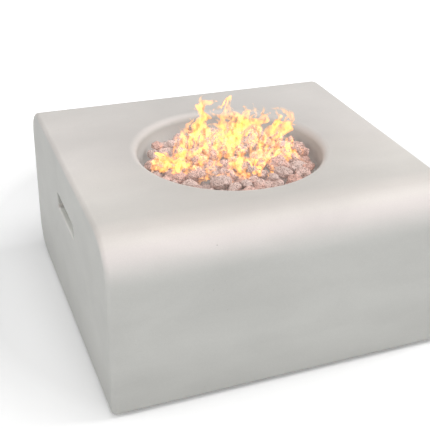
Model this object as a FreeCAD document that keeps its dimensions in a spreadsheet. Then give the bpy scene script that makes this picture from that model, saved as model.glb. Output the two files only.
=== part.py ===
"""Gas fire pit: a low cast-concrete body with a round bowl of lava rock.

Frame, in millimetres: origin on the floor under the middle of the body, +X to the
right, +Y to the back where the controls are, +Z up. The front is the rounded -Y side.
"""

import FreeCAD, Part

import math
import os
import random
import re

import Sketcher
from FreeCAD import Placement, Rotation, Vector

# ---------------------------------------------------------------- driving dimensions
SIZES = {
    # cast body
    "width": 595,
    "depth": 590,
    "height": 305,
    "floor_gap": 3,
    "wall": 12,
    "deck": 16,
    "front_radius": 75,
    "back_radius": 60,
    "side_radius": 8,
    "toe_radius": 10,
    "heel_radius": 60,
    # bowl moulded into the deck, a little forward of the middle
    "bowl_y": -15,
    "bowl_radius": 165,
    "lip_radius": 13,
    "bowl_wall": 12,
    "ledge_drop": 66,
    "ledge_thick": 14,
    "ledge_wide": 25,
    # hand-holds sunk into the two side walls
    "grip_long": 132,
    "grip_high": 28,
    "grip_height": 210,
    "grip_corner": 7,
    "grip_deep": 24,
    "grip_back": 8,
    "edge_round": 3,
    # recess for the controls in the back wall
    "niche_wide": 206,
    "niche_high": 96,
    "niche_deep": 38,
    "niche_wall": 10,
    "niche_height": 140,
    "niche_corner": 12,
    # feet
    "block_size": 60,
    "block_high": 27,
    "foot_radius": 15,
    "foot_high": 12,
    "foot_inset": 46,
    "foot_clearance": 0.3,
    "foot_screw_radius": 2.5,
    "foot_head_radius": 4.5,
    "foot_head_high": 3,
    "insert_radius": 4,
    "insert_long": 13,
    # burner pan
    "sheet": 1.5,
    "pan_clearance": 4,
    "pan_depth": 34,
    "pan_corner": 9,
    "pan_screw_inset": 14,
    "pan_screw_radius": 2.5,
    "pan_head_radius": 5,
    "pan_head_high": 2.6,
    "drain_ring": 50,
    "drain_radius": 3,
    # ring burner
    "ring_inset": 54,
    "ring_wide": 24,
    "ring_high": 14,
    "ring_sheet": 1.2,
    "ring_round": 2,
    "ring_lift": 8,
    "bar_wide": 20,
    "hub_radius": 18,
    "stem_radius": 10,
    "stem_long": 32,
    "gas_bore": 6,
    "port_radius": 1.5,
    "port_count": 20,
    "nut_flats": 32,
    "nut_high": 8,
    # heat shield and air mixer under the pan
    "shield_radius": 90,
    "shield_lip": 9,
    "shield_sheet": 1.2,
    "mixer_radius": 14,
    "mixer_long": 64,
    "mixer_throat": 7,
    "mixer_end": 5,
    "window_high": 20,
    "window_wide": 12,
    # gas jet, tubes and their nuts
    "jet_flats": 14,
    "jet_hex_long": 9,
    "thread_radius": 5,
    "thread_long": 10,
    "jet_nose_radius": 3,
    "jet_nose_long": 14,
    "jet_bore": 0.8,
    "tube_radius": 4,
    "tube_wall": 1,
    "tube_nut_flats": 15,
    "tube_nut_long": 12,
    "inlet_bend": 12,
    "feed_drop": 29,
    "feed_run": 76,
    "feed_rise": 50,
    "feed_bend": 45,
    "foot_bend": 28,
    "jet_bend": 17,
    # flame sensing and ignition beside the ring
    "probe_inset": 27,
    "probe_spread": 11,
    "ceramic_radius": 4,
    "electrode_radius": 1.2,
    "sensor_radius": 2.5,
    "probe_high": 26,
    "probe_low": 18,
    "bracket_long": 52,
    "bracket_wide": 22,
    "guard_long": 56,
    "guard_wide": 26,
    "guard_high": 36,
    "wire_tail": 3,
    "lead_radius": 1.5,
    "lead_bend": 16,
    # control panel
    "panel_margin": 7,
    "panel_screw_radius": 1.9,
    "panel_head_radius": 3.6,
    "panel_head_high": 2.2,
    "panel_screw_long": 13,
    # valve, spindle and knob
    "knob_x": 8,
    "valve_size": 36,
    "valve_long": 42,
    "collar_radius": 17,
    "collar_long": 7,
    "stub_inset": 12,
    "chamber_radius": 9,
    "chamber_deep": 14,
    "spindle_radius": 4,
    "spindle_flat": 2.6,
    "spindle_deep": 16,
    "valve_screw_ring": 13,
    "valve_screw_radius": 1.4,
    "valve_head_radius": 2.8,
    "valve_head_high": 1.4,
    "knob_radius": 23,
    "knob_high": 19,
    "knob_grip": 7,
    "knob_lift": 4,
    "knob_push": 3,
    "knob_skirt": 3,
    "knob_hub_radius": 8,
    "knob_face": 4,
    "knob_rim": 5,
    "knob_taper": 2,
    "bar_half": 6,
    "bar_end": 5.5,
    "seat_high": 1.4,
    "seat_place": 2,
    "spring_wire": 1.1,
    "spring_radius": 6.6,
    # igniter with its battery
    "igniter_x": -60,
    "neck_radius": 11,
    "neck_long": 12.5,
    "housing_radius": 14.5,
    "housing_long": 70,
    "housing_wall": 3.5,
    "battery_radius": 7.25,
    "battery_long": 50.5,
    "battery_nub": 2.75,
    "nub_high": 2,
    "contact_long": 7,
    "contact_radius": 5,
    "contact_wire": 0.9,
    "igniter_nut_flats": 30,
    "igniter_nut_high": 4,
    "seal_thick": 1.4,
    "cap_radius": 14.5,
    "cap_high": 12,
    "cap_face": 4,
    "cap_groove": 1.6,
    "button_radius": 8,
    "button_flange": 9.3,
    "flange_thick": 1.6,
    "button_well": 5.5,
    "button_stem_radius": 3,
    "button_stem_long": 14,
    "button_proud": 2.5,
    "button_wire": 0.8,
    # gas inlet
    "inlet_x": 70,
    "bulkhead_radius": 9.5,
    "inlet_radius": 7.94,
    "inlet_long": 14,
    "inlet_flats": 24,
    "inlet_nut_high": 5,
    "inlet_bore": 5,
    "inlet_hex_long": 8,
    # lava rock
    "rock_size": 45,
    "rock_gap": 0.3,
    "heap_inset": 9,
    "heap_edge_drop": 17,
    "heap_middle_drop": 6,
    # clearances between pieces that slide or turn in one another
    "running": 0.05,
    "play": 0.4,
}

# Levels and places worked out from the driving dimensions.
PLACES = {
    "ledge_top": "height - ledge_drop",
    "ledge_radius": "bowl_radius - ledge_wide",
    "pan_radius": "ledge_radius - pan_clearance",
    "flange_radius": "bowl_radius - pan_clearance",
    "pan_screw_ring": "bowl_radius - pan_screw_inset",
    "ring_radius": "pan_radius - ring_inset",
    "probe_ring": "pan_radius - probe_inset",
    "pan_under": "ledge_top - pan_depth",
    "pan_floor": "pan_under + sheet",
    "flange_top": "ledge_top + sheet",
    "ring_base": "pan_floor + ring_lift",
    "ring_top": "ring_base + ring_high",
    "bar_top": "ring_top - ring_sheet",
    "stem_end": "pan_under - stem_long",
    "burner_nut_base": "pan_under - nut_high",
    "mixer_top": "burner_nut_base - shield_sheet",
    "mixer_base": "mixer_top - mixer_long",
    "jet_base": "mixer_base - jet_hex_long",
    "jet_end": "jet_base - thread_long",
    "foot_x": "width / 2 - foot_inset",
    "foot_front_y": "foot_inset - depth / 2",
    "foot_back_y": "depth / 2 - heel_radius - foot_radius - 1",
    "front_y": "-depth / 2 - bowl_y",
    "back_y": "depth / 2 - bowl_y",
    "panel_face": "depth / 2 - niche_deep",
    "panel_back": "panel_face - sheet",
    "panel_wide": "niche_wide + 2 * panel_margin",
    "panel_high": "niche_high + 2 * panel_margin",
    "panel_screw_x": "niche_wide / 2 + niche_wall / 2",
    "panel_screw_z": "niche_high / 2 - niche_corner",
    "valve_front": "panel_back - collar_long",
    "valve_back": "valve_front - valve_long",
    "inlet_y": "valve_back + stub_inset",
    "inlet_end": "sheet + inlet_nut_high + inlet_long",
    "knob_base": "panel_face + knob_lift",
    "knob_top": "knob_base + knob_high",
    "spindle_end": "knob_top - knob_grip - panel_back",
    "spindle_start": "knob_push + 1 - chamber_deep - spindle_deep",
    "cap_base": "panel_face + igniter_nut_high + seal_thick",
    "cap_top": "cap_base + cap_high",
    "flange_seat": "cap_top - cap_face",
    "neck_end": "panel_back + neck_long",
    "housing_back": "panel_back - housing_long",
    "battery_back": "housing_back + housing_wall + contact_long",
    "tube_start": "valve_back - thread_long",
    "fitting_back": "panel_back - inlet_hex_long - thread_long",
    "probe_top": "pan_floor + probe_high",
    "probe_base": "pan_under - sheet - probe_low",
}

doc = FreeCAD.newDocument("GasFirePit")
sheet = doc.addObject("Spreadsheet::Sheet", "Sizes")
for row, (alias, value) in enumerate(SIZES.items(), start=1):
    sheet.set(f"A{row}", alias)
    sheet.set(f"B{row}", str(value))
    sheet.setAlias(f"B{row}", alias)
doc.recompute()

subparts = []


# ------------------------------------------------------------------ expression helpers
def bound(expression):
    """Spell out an expression of size and place names as one on the sheet's cells."""

    def spell(match):
        name = match.group(0)
        if name in PLACES:
            return "(" + bound(PLACES[name]) + ")"
        return "Sizes." + name if name in SIZES else name

    return re.sub(r"[a-z][a-z_]*", spell, expression)


def size(expression):
    """The value of such an expression."""
    return float(sheet.evalExpression(bound(expression)))


# ---------------------------------------------------------------------- sketch helpers
def plane_of(body, role):
    return next(item for item in body.Origin.OriginFeatures if item.Role == role)


def new_sketch(body, name, plane, offset):
    sketch = body.newObject("Sketcher::SketchObject", name)
    sketch.AttachmentSupport = [(plane_of(body, plane), "")]
    sketch.MapMode = "FlatFace"
    sketch.setExpression("AttachmentOffset.Base.z", bound(offset))
    return sketch


def pin_point(sketch, item, end, across, up):
    """Hold one point of a sketch item at two expressions from the origin."""
    for kind, expression in (("DistanceX", across), ("DistanceY", up)):
        rule = Sketcher.Constraint(kind, -1, 1, item, end, size(expression))
        number = sketch.addConstraint(rule)
        sketch.setExpression(f"Constraints[{number}]", bound(expression))


def add_polygon(sketch, points):
    """A closed outline of straight lines through points given as expressions."""
    first = sketch.GeometryCount
    spots = [Vector(size(across), size(up), 0) for across, up in points]
    for index, spot in enumerate(spots):
        following = spots[(index + 1) % len(spots)]
        sketch.addGeometry(Part.LineSegment(spot, following), False)
    for index in range(len(points)):
        following = (index + 1) % len(points)
        joined = Sketcher.Constraint("Coincident", first + index, 2, first + following, 1)
        sketch.addConstraint(joined)
    for index, (across, up) in enumerate(points):
        pin_point(sketch, first + index, 1, across, up)


def add_circle(sketch, radius, across="0", up="0"):
    """A circle whose centre and radius are expressions."""
    middle = Vector(size(across), size(up), 0)
    circle = Part.Circle(middle, Vector(0, 0, 1), size(radius))
    item = sketch.addGeometry(circle, False)
    pin_point(sketch, item, 3, across, up)
    number = sketch.addConstraint(Sketcher.Constraint("Radius", item, size(radius)))
    sketch.setExpression(f"Constraints[{number}]", bound(radius))


def add_rounded(sketch, left, right, low, high, radii):
    """A box of lines with tangent arcs; radii run low-left, low-right, high-right,
    high-left, and a radius of None leaves that corner sharp."""
    corners = [(left, low), (right, low), (right, high), (left, high)]
    turns = [(1, 1), (-1, 1), (-1, -1), (1, -1)]
    starts = []
    ends = []
    centres = []
    for (across, up), (sx, sy), radius in zip(corners, turns, radii):
        reach = size(radius) if radius else 0
        x, y = size(across), size(up)
        along_x = Vector(x + sx * reach, y, 0)
        along_y = Vector(x, y + sy * reach, 0)
        centres.append(Vector(x + sx * reach, y + sy * reach, 0))
        arrives, leaves = (along_y, along_x) if sx == sy else (along_x, along_y)
        starts.append(leaves)
        ends.append(arrives)
    first = sketch.GeometryCount
    for index in range(4):
        line = Part.LineSegment(starts[index], ends[(index + 1) % 4])
        sketch.addGeometry(line, False)
    for index in range(4):
        kind = "Horizontal" if index % 2 == 0 else "Vertical"
        sketch.addConstraint(Sketcher.Constraint(kind, first + index))
    for index in range(4):
        before = first + (index - 1) % 4
        after = first + index
        radius = radii[index]
        if not radius:
            sketch.addConstraint(Sketcher.Constraint("Coincident", before, 2, after, 1))
            continue
        reach = size(radius)
        middle = centres[index]
        angle = math.pi + index * math.pi / 2
        circle = Part.Circle(middle, Vector(0, 0, 1), reach)
        arc = Part.ArcOfCircle(circle, angle, angle + math.pi / 2)
        item = sketch.addGeometry(arc, False)
        sketch.addConstraint(Sketcher.Constraint("Tangent", before, 2, item, 1))
        sketch.addConstraint(Sketcher.Constraint("Tangent", item, 2, after, 1))
        number = sketch.addConstraint(Sketcher.Constraint("Radius", item, reach))
        sketch.setExpression(f"Constraints[{number}]", bound(radius))
    sides = (("DistanceY", 0, low), ("DistanceX", 1, right), ("DistanceY", 2, high),
             ("DistanceX", 3, left))
    for kind, side, expression in sides:
        rule = Sketcher.Constraint(kind, -1, 1, first + side, 1, size(expression))
        number = sketch.addConstraint(rule)
        sketch.setExpression(f"Constraints[{number}]", bound(expression))


def polygon(body, name, plane, points, offset="0"):
    sketch = new_sketch(body, name, plane, offset)
    add_polygon(sketch, points)
    return sketch


def circles(body, name, plane, radius, spots=(("0", "0"),), offset="0"):
    sketch = new_sketch(body, name, plane, offset)
    for across, up in spots:
        add_circle(sketch, radius, across, up)
    return sketch


def rounded(body, name, plane, left, right, low, high, radii, offset="0"):
    sketch = new_sketch(body, name, plane, offset)
    add_rounded(sketch, left, right, low, high, radii)
    return sketch


def hexagon(body, name, plane, flats, bore=None, offset="0"):
    """A hexagon across flats, with a round hole when a bore is given."""
    sketch = new_sketch(body, name, plane, offset)
    corners = []
    for index in range(6):
        turn = math.radians(60 * index)
        reach = 1 / math.sqrt(3)
        x, y = reach * math.cos(turn), reach * math.sin(turn)
        corners.append((f"({flats}) * {x:.6f}", f"({flats}) * {y:.6f}"))
    add_polygon(sketch, corners)
    if bore:
        add_circle(sketch, bore)
    return sketch


# --------------------------------------------------------------------- feature helpers
def new_body(label):
    body = doc.addObject("PartDesign::Body", label)
    body.Label = label
    body.AllowCompound = True
    subparts.append(body)
    return body


def extrude(kind, body, sketch, length, reverse=False, middle=False):
    feature = body.newObject("PartDesign::" + kind, sketch.Name + "_" + kind.lower())
    feature.Profile = sketch
    feature.Reversed = reverse
    feature.Midplane = middle
    feature.setExpression("Length", bound(length))
    sketch.Visibility = False
    return feature


def pad(body, sketch, length, reverse=False, middle=False):
    return extrude("Pad", body, sketch, length, reverse, middle)


def pocket(body, sketch, length, reverse=False, middle=False):
    return extrude("Pocket", body, sketch, length, reverse, middle)


def spin(kind, body, sketch):
    """Turn an outline of radius and height about the body's own Z axis."""
    feature = body.newObject("PartDesign::" + kind, sketch.Name + "_" + kind.lower())
    feature.Profile = sketch
    feature.ReferenceAxis = (sketch, ["V_Axis"])
    feature.Angle = 360
    return feature


def turned(label, points):
    """A body turned from one closed outline of radius and height."""
    body = new_body(label)
    spin("Revolution", body, polygon(body, label + "_section", "XZ_Plane", points))
    return body


def around(body, features, count, label):
    """Repeat features about the body's Z axis."""
    pattern = body.newObject("PartDesign::PolarPattern", label)
    pattern.Originals = features
    pattern.Axis = (plane_of(body, "Z_Axis"), [""])
    pattern.Angle = 360
    pattern.setExpression("Occurrences", bound(count))
    body.Tip = pattern
    return pattern


def edges_where(shape, chosen):
    """Names of the edges whose sample points all pass a test."""
    names = []
    for number, edge in enumerate(shape.Edges, start=1):
        if edge.Length < 1e-6:
            continue
        points = edge.discretize(5)
        if all(chosen(point) for point in points):
            names.append(f"Edge{number}")
    return names


def fillet(body, base, label, radius, chosen):
    """Round the chosen edges of the base feature."""
    doc.recompute()
    feature = body.newObject("PartDesign::Fillet", label)
    feature.Base = (base, edges_where(base.Shape, chosen))
    feature.setExpression("Radius", bound(radius))
    return feature


def chamfer(body, base, label, reach, chosen):
    """Bevel the chosen edges of the base feature."""
    doc.recompute()
    feature = body.newObject("PartDesign::Chamfer", label)
    feature.Base = (base, edges_where(base.Shape, chosen))
    feature.setExpression("Size", bound(reach))
    return feature


def near(value, expression):
    return abs(value - size(expression)) < 1e-4


def place(part, x, y, z, rotation=Rotation()):
    """Put a part at three expressions."""
    part.Placement = Placement(Vector(), rotation)
    for letter, expression in (("x", x), ("y", y), ("z", z)):
        part.setExpression("Placement.Base." + letter, bound(expression))


def under_bowl(part):
    """Move a part that is drawn about the bowl's axis to the bowl's place."""
    place(part, "0", "bowl_y", "0")


# A part turned about its own Z axis points along +Y after this rotation.
TO_BACK = Rotation(Vector(1, 0, 0), -90)
CORNERS = [(sx, sy) for sx in (-1, 1) for sy in (-1, 1)]


def foot_spots(shift="0"):
    """The four feet, with Y measured from a given place."""
    return [(f"{sx} * foot_x", f"{y} - {shift}")
            for sx in (-1, 1) for y in ("foot_front_y", "foot_back_y")]


def ring_spots(radius, count, start=0):
    """Evenly spaced places on a circle, as expressions."""
    spots = []
    for index in range(count):
        turn = math.radians(start + 360 * index / count)
        x, y = math.cos(turn), math.sin(turn)
        spots.append((f"({radius}) * {x:.6f}", f"({radius}) * {y:.6f}"))
    return spots


# ------------------------------------------------------------------------- cast body
def make_stone_body():
    """The thin-walled casting: rounded front and back, bowl, hand-holds, control
    recess and four corner blocks for the feet. It is open underneath, and it is
    drawn round the bowl's middle and then moved to its place."""
    body = new_body("stone_body")
    side = rounded(body, "side_profile", "YZ_Plane", "front_y", "back_y",
                   "floor_gap", "height",
                   ("toe_radius", "heel_radius", "back_radius", "front_radius"))
    block = pad(body, side, "width", middle=True)

    def at_side(point):
        return near(abs(point.x), "width / 2")

    fillet(body, block, "side_rounding", "side_radius", at_side)

    inner = rounded(body, "hollow_profile", "YZ_Plane", "front_y + wall",
                    "back_y - wall", "floor_gap + wall", "height - deck",
                    (None, "heel_radius - wall", "back_radius - wall",
                     "front_radius - wall"))
    pocket(body, inner, "width - 2 * wall", middle=True)
    under = rounded(body, "under_opening", "YZ_Plane", "front_y + wall",
                    "back_y - heel_radius", "floor_gap - 1", "floor_gap + wall + 1",
                    (None,) * 4)
    pocket(body, under, "width - 2 * wall", middle=True)

    mouth = circles(body, "bowl_mouth", "XY_Plane", "bowl_radius", offset="height")
    pocket(body, mouth, "deck + 1")
    bowl = polygon(body, "bowl_section", "XZ_Plane", [
        ("bowl_radius", "height - deck / 2"),
        ("bowl_radius + bowl_wall", "height - deck / 2"),
        ("bowl_radius + bowl_wall", "ledge_top - ledge_thick"),
        ("ledge_radius", "ledge_top - ledge_thick"),
        ("ledge_radius", "ledge_top"),
        ("bowl_radius", "ledge_top"),
    ])
    bowl_ring = spin("Revolution", body, bowl)

    def at_mouth(point):
        return near(point.z, "height") and near(math.hypot(point.x, point.y), "bowl_radius")

    fillet(body, bowl_ring, "bowl_lip", "lip_radius", at_mouth)

    sleeve = rounded(body, "niche_sleeve", "XZ_Plane",
                     "-niche_wide / 2 - niche_wall", "niche_wide / 2 + niche_wall",
                     "niche_height - niche_high / 2 - niche_wall",
                     "niche_height + niche_high / 2 + niche_wall",
                     ("niche_corner",) * 4, offset="wall / 2 - back_y")
    pad(body, sleeve, "niche_deep - wall / 2")
    opening = rounded(body, "niche_opening", "XZ_Plane", "-niche_wide / 2",
                      "niche_wide / 2", "niche_height - niche_high / 2",
                      "niche_height + niche_high / 2", ("niche_corner",) * 4,
                      offset="-back_y - 1")
    pocket(body, opening, "niche_deep + 2", reverse=True)

    blocks = new_sketch(body, "corner_blocks", "XY_Plane", "floor_gap")
    for side in (-1, 1):
        near_x = f"{side} * (width / 2 - wall)"
        far_x = f"{side} * (width / 2 - wall - block_size)"
        for near_y, far_y in (("front_y + wall", "front_y + wall + block_size"),
                              ("back_y - heel_radius",
                               "back_y - heel_radius - block_size * 0.8")):
            add_polygon(blocks, [(near_x, near_y), (far_x, near_y), (far_x, far_y),
                                 (near_x, far_y)])
    pad(body, blocks, "block_high")
    feet = foot_spots("bowl_y")
    seats = circles(body, "foot_seats", "XY_Plane", "foot_radius + foot_clearance", feet,
                    offset="floor_gap")
    pocket(body, seats, "foot_high - floor_gap", reverse=True)
    insert_bores = circles(body, "foot_insert_bores", "XY_Plane", "insert_radius", feet,
                           offset="foot_high - 1")
    pocket(body, insert_bores, "insert_long + 1", reverse=True)

    pan_bores = circles(body, "pan_insert_bores", "XY_Plane", "insert_radius",
                        ring_spots("pan_screw_ring", 4, 45), offset="ledge_top")
    pocket(body, pan_bores, "insert_long")
    spots = [(f"{sx} * panel_screw_x", f"niche_height + {sz} * panel_screw_z")
             for sx, sz in CORNERS]
    screw_bores = circles(body, "panel_screw_bores", "XZ_Plane", "panel_screw_radius",
                          spots, offset="bowl_y - panel_face")
    pocket(body, screw_bores, "panel_screw_long - sheet")

    for side, name in ((1, "right"), (-1, "left")):
        back = rounded(body, name + "_hold_back", "YZ_Plane",
                       "-grip_long / 2 - grip_back - bowl_y",
                       "grip_long / 2 + grip_back - bowl_y",
                       "grip_height - grip_high / 2 - grip_back",
                       "grip_height + grip_high / 2 + grip_back",
                       ("grip_corner",) * 4, offset=f"{side} * (width - wall) / 2")
        pad(body, back, "grip_deep + grip_back - wall / 2", reverse=side > 0)
        grip = rounded(body, name + "_hand_hold", "YZ_Plane",
                       "-grip_long / 2 - bowl_y", "grip_long / 2 - bowl_y",
                       "grip_height - grip_high / 2", "grip_height + grip_high / 2",
                       ("grip_corner",) * 4, offset=f"{side} * (width / 2 + 1)")
        cut = pocket(body, grip, "grip_deep + 1", reverse=side < 0)

    def at_opening(point):
        beside = abs(point.y + size("bowl_y")) < size("grip_long / 2 + 1")
        level = abs(point.z - size("grip_height")) < size("grip_high / 2 + 1")
        at_grip = near(abs(point.x), "width / 2") and beside and level
        inside = abs(point.x) < size("niche_wide / 2 + 1")
        high = abs(point.z - size("niche_height")) < size("niche_high / 2 + 1")
        at_niche = near(point.y, "back_y") and inside and high
        return at_grip or at_niche

    fillet(body, cut, "opening_rounding", "edge_round", at_opening)
    under_bowl(body)


def make_feet():
    """Four rubber feet, each with a screw up into an insert in its corner block."""
    spots = foot_spots()
    feet = new_body("rubber_feet")
    pad(feet, circles(feet, "foot_discs", "XY_Plane", "foot_radius", spots), "foot_high")
    sink = circles(feet, "foot_head_sinks", "XY_Plane", "foot_head_radius + play", spots)
    pocket(feet, sink, "foot_high / 2", reverse=True)
    bores = circles(feet, "foot_bores", "XY_Plane", "foot_screw_radius", spots)
    bored = pocket(feet, bores, "foot_high + 1", reverse=True)

    def at_floor(point):
        return near(point.z, "0")

    fillet(feet, bored, "foot_rounding", "floor_gap / 4", at_floor)

    screws = new_body("foot_screws")
    heads = circles(screws, "foot_screw_heads", "XY_Plane", "foot_head_radius", spots,
                    offset="foot_high / 2 - foot_head_high")
    pad(screws, heads, "foot_head_high")
    shanks = circles(screws, "foot_screw_shanks", "XY_Plane", "foot_screw_radius", spots,
                     offset="foot_high / 2 - foot_head_high / 2")
    pad(screws, shanks, "foot_high / 2 + foot_head_high / 2 + insert_long - 2")

    inserts = new_body("foot_inserts")
    outside = circles(inserts, "foot_insert_bodies", "XY_Plane", "insert_radius", spots,
                      offset="foot_high")
    pad(inserts, outside, "insert_long")
    inside = circles(inserts, "foot_insert_threads", "XY_Plane", "foot_screw_radius",
                     spots, offset="foot_high - 1")
    pocket(inserts, inside, "insert_long - 1", reverse=True)


# --------------------------------------------------------------------------- burner
def make_burner_pan():
    """A pressed dish whose flange lies on the ledge inside the bowl."""
    body = turned("burner_pan", [
        ("stem_radius + play", "pan_under"),
        ("pan_radius", "pan_under"),
        ("pan_radius", "ledge_top"),
        ("flange_radius", "ledge_top"),
        ("flange_radius", "flange_top"),
        ("pan_radius - sheet", "flange_top"),
        ("pan_radius - sheet", "pan_floor"),
        ("stem_radius + play", "pan_floor"),
    ])
    dish = body.Tip

    def at_outer_corner(point):
        reach = math.hypot(point.x, point.y)
        return near(point.z, "pan_under") and near(reach, "pan_radius")

    def at_inner_corner(point):
        reach = math.hypot(point.x, point.y)
        return near(point.z, "pan_floor") and near(reach, "pan_radius - sheet")

    outer = fillet(body, dish, "pan_outer_corner", "pan_corner", at_outer_corner)
    fillet(body, outer, "pan_inner_corner", "pan_corner - sheet", at_inner_corner)
    holes = circles(body, "pan_screw_holes", "XY_Plane", "pan_screw_radius + play",
                    ring_spots("pan_screw_ring", 4, 45), offset="flange_top + 1")
    pocket(body, holes, "sheet + 2")
    drains = circles(body, "pan_drains", "XY_Plane", "drain_radius",
                     ring_spots("drain_ring", 8, 22.5), offset="pan_floor + 1")
    pocket(body, drains, "sheet + 2")
    probes = circles(body, "pan_probe_holes", "XY_Plane", "ceramic_radius + play",
                     [("-probe_spread", "probe_ring"), ("probe_spread", "probe_ring")],
                     offset="pan_floor + 1")
    pocket(body, probes, "sheet + 2")
    under_bowl(body)


def make_pan_fasteners():
    """Four button-head screws through the flange into inserts in the ledge."""
    spots = ring_spots("pan_screw_ring", 4, 45)
    screws = new_body("pan_screws")
    heads = circles(screws, "pan_screw_heads", "XY_Plane", "pan_head_radius", spots,
                    offset="flange_top")
    head = pad(screws, heads, "pan_head_high")

    def at_head_top(point):
        return near(point.z, "flange_top + pan_head_high")

    fillet(screws, head, "pan_head_doming", "pan_head_high * 0.8", at_head_top)
    shanks = circles(screws, "pan_screw_shanks", "XY_Plane", "pan_screw_radius", spots,
                     offset="flange_top")
    pad(screws, shanks, "sheet + insert_long - 2", reverse=True)

    inserts = new_body("ledge_inserts")
    outside = circles(inserts, "ledge_insert_bodies", "XY_Plane", "insert_radius", spots,
                      offset="ledge_top")
    pad(inserts, outside, "insert_long", reverse=True)
    inside = circles(inserts, "ledge_insert_threads", "XY_Plane", "pan_screw_radius",
                     spots, offset="ledge_top + 1")
    pocket(inserts, inside, "insert_long - 1")
    under_bowl(screws)
    under_bowl(inserts)


def make_burner_ring():
    """The ring burner: a hollow ring of pressed sheet with a cross bar, and a hub
    whose threaded stem passes through the pan."""
    body = new_body("burner_ring")
    section = rounded(body, "ring_section", "XZ_Plane", "ring_radius - ring_wide / 2",
                      "ring_radius + ring_wide / 2", "ring_base", "ring_top",
                      (None, None, "ring_round", "ring_round"))
    spin("Revolution", body, section)
    bar = rounded(body, "bar_section", "YZ_Plane", "-bar_wide / 2", "bar_wide / 2",
                  "ring_base", "bar_top", (None, None, "ring_round", "ring_round"))
    pad(body, bar, "2 * ring_radius", middle=True)
    hub = polygon(body, "hub_section", "XZ_Plane", [
        ("0", "stem_end"),
        ("stem_radius", "stem_end"),
        ("stem_radius", "pan_floor"),
        ("hub_radius", "pan_floor"),
        ("hub_radius", "bar_top"),
        ("0", "bar_top"),
    ])
    spin("Revolution", body, hub)
    hollow = polygon(body, "ring_hollow", "XZ_Plane", [
        ("ring_radius - ring_wide / 2 + ring_sheet", "ring_base + ring_sheet"),
        ("ring_radius + ring_wide / 2 - ring_sheet", "ring_base + ring_sheet"),
        ("ring_radius + ring_wide / 2 - ring_sheet", "ring_top - ring_round"),
        ("ring_radius + ring_wide / 2 - ring_round", "ring_top - ring_sheet"),
        ("ring_radius - ring_wide / 2 + ring_round", "ring_top - ring_sheet"),
        ("ring_radius - ring_wide / 2 + ring_sheet", "ring_top - ring_round"),
    ])
    spin("Groove", body, hollow)
    channel = polygon(body, "bar_channel", "YZ_Plane", [
        ("ring_sheet - bar_wide / 2", "ring_base + ring_sheet"),
        ("bar_wide / 2 - ring_sheet", "ring_base + ring_sheet"),
        ("bar_wide / 2 - ring_sheet", "bar_top - ring_round"),
        ("bar_wide / 2 - ring_round", "bar_top - ring_sheet"),
        ("ring_round - bar_wide / 2", "bar_top - ring_sheet"),
        ("ring_sheet - bar_wide / 2", "bar_top - ring_round"),
    ])
    pocket(body, channel, "2 * ring_radius", middle=True)
    bore = circles(body, "stem_bore", "XY_Plane", "gas_bore", offset="stem_end - 1")
    pocket(body, bore, "ring_base - stem_end + ring_sheet + 2", reverse=True)
    port = circles(body, "gas_port", "XY_Plane", "port_radius", [("0", "ring_radius")],
                   offset="ring_top + 1")
    first = pocket(body, port, "ring_sheet + 2")
    around(body, [first], "port_count", "gas_ports")
    under_bowl(body)


def make_burner_nut():
    body = new_body("burner_nut")
    blank = hexagon(body, "burner_nut_outline", "XY_Plane", "nut_flats",
                    "stem_radius + running", offset="burner_nut_base")
    pad(body, blank, "nut_high")
    under_bowl(body)


def make_heat_shield():
    """A shallow sheet dish under the pan, clamped between the nut and the mixer."""
    body = turned("heat_shield", [
        ("stem_radius + play", "mixer_top"),
        ("shield_radius - shield_lip", "mixer_top"),
        ("shield_radius", "mixer_top - shield_lip"),
        ("shield_radius + shield_sheet * 1.4", "mixer_top - shield_lip"),
        ("shield_radius - shield_lip + shield_sheet * 0.4", "burner_nut_base"),
        ("stem_radius + play", "burner_nut_base"),
    ])
    under_bowl(body)


def make_air_mixer():
    """The tube that draws air in through two windows above the gas jet."""
    body = turned("air_mixer", [
        ("stem_radius + running", "mixer_top"),
        ("mixer_radius", "mixer_top"),
        ("mixer_radius", "mixer_base"),
        ("thread_radius + running", "mixer_base"),
        ("thread_radius + running", "mixer_base + mixer_end"),
        ("mixer_radius - 2", "mixer_base + mixer_end + 2"),
        ("mixer_radius - 2", "mixer_base + mixer_end + window_high + 2"),
        ("mixer_throat", "mixer_base + mixer_end + window_high + 8"),
        ("mixer_throat", "stem_end - 3"),
        ("stem_radius + running", "stem_end"),
    ])
    window = rounded(body, "air_windows", "XZ_Plane", "-window_wide / 2",
                     "window_wide / 2", "mixer_base + mixer_end + 2",
                     "mixer_base + mixer_end + 2 + window_high",
                     ("window_wide / 3",) * 4)
    pocket(body, window, "3 * mixer_radius", middle=True)
    under_bowl(body)


def make_gas_jet():
    """The brass jet: nose up in the mixer, hexagon under it, thread for the tube."""
    body = turned("gas_jet", [
        ("jet_bore", "jet_base"),
        ("thread_radius", "jet_base"),
        ("thread_radius", "mixer_base + mixer_end"),
        ("jet_nose_radius", "mixer_base + mixer_end"),
        ("jet_nose_radius", "mixer_base + jet_nose_long - 2"),
        ("jet_nose_radius - 1", "mixer_base + jet_nose_long"),
        ("jet_bore", "mixer_base + jet_nose_long"),
    ])
    hexes = hexagon(body, "jet_hexagon", "XY_Plane", "jet_flats", "jet_bore",
                    offset="jet_base")
    pad(body, hexes, "jet_hex_long")
    tail = new_sketch(body, "jet_tail", "XY_Plane", "jet_base")
    add_circle(tail, "thread_radius")
    add_circle(tail, "jet_bore")
    pad(body, tail, "thread_long", reverse=True)
    flare = circles(body, "jet_flare", "XY_Plane", "tube_radius - tube_wall",
                    offset="jet_end")
    pocket(body, flare, "thread_long - 2", reverse=True)
    under_bowl(body)


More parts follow.
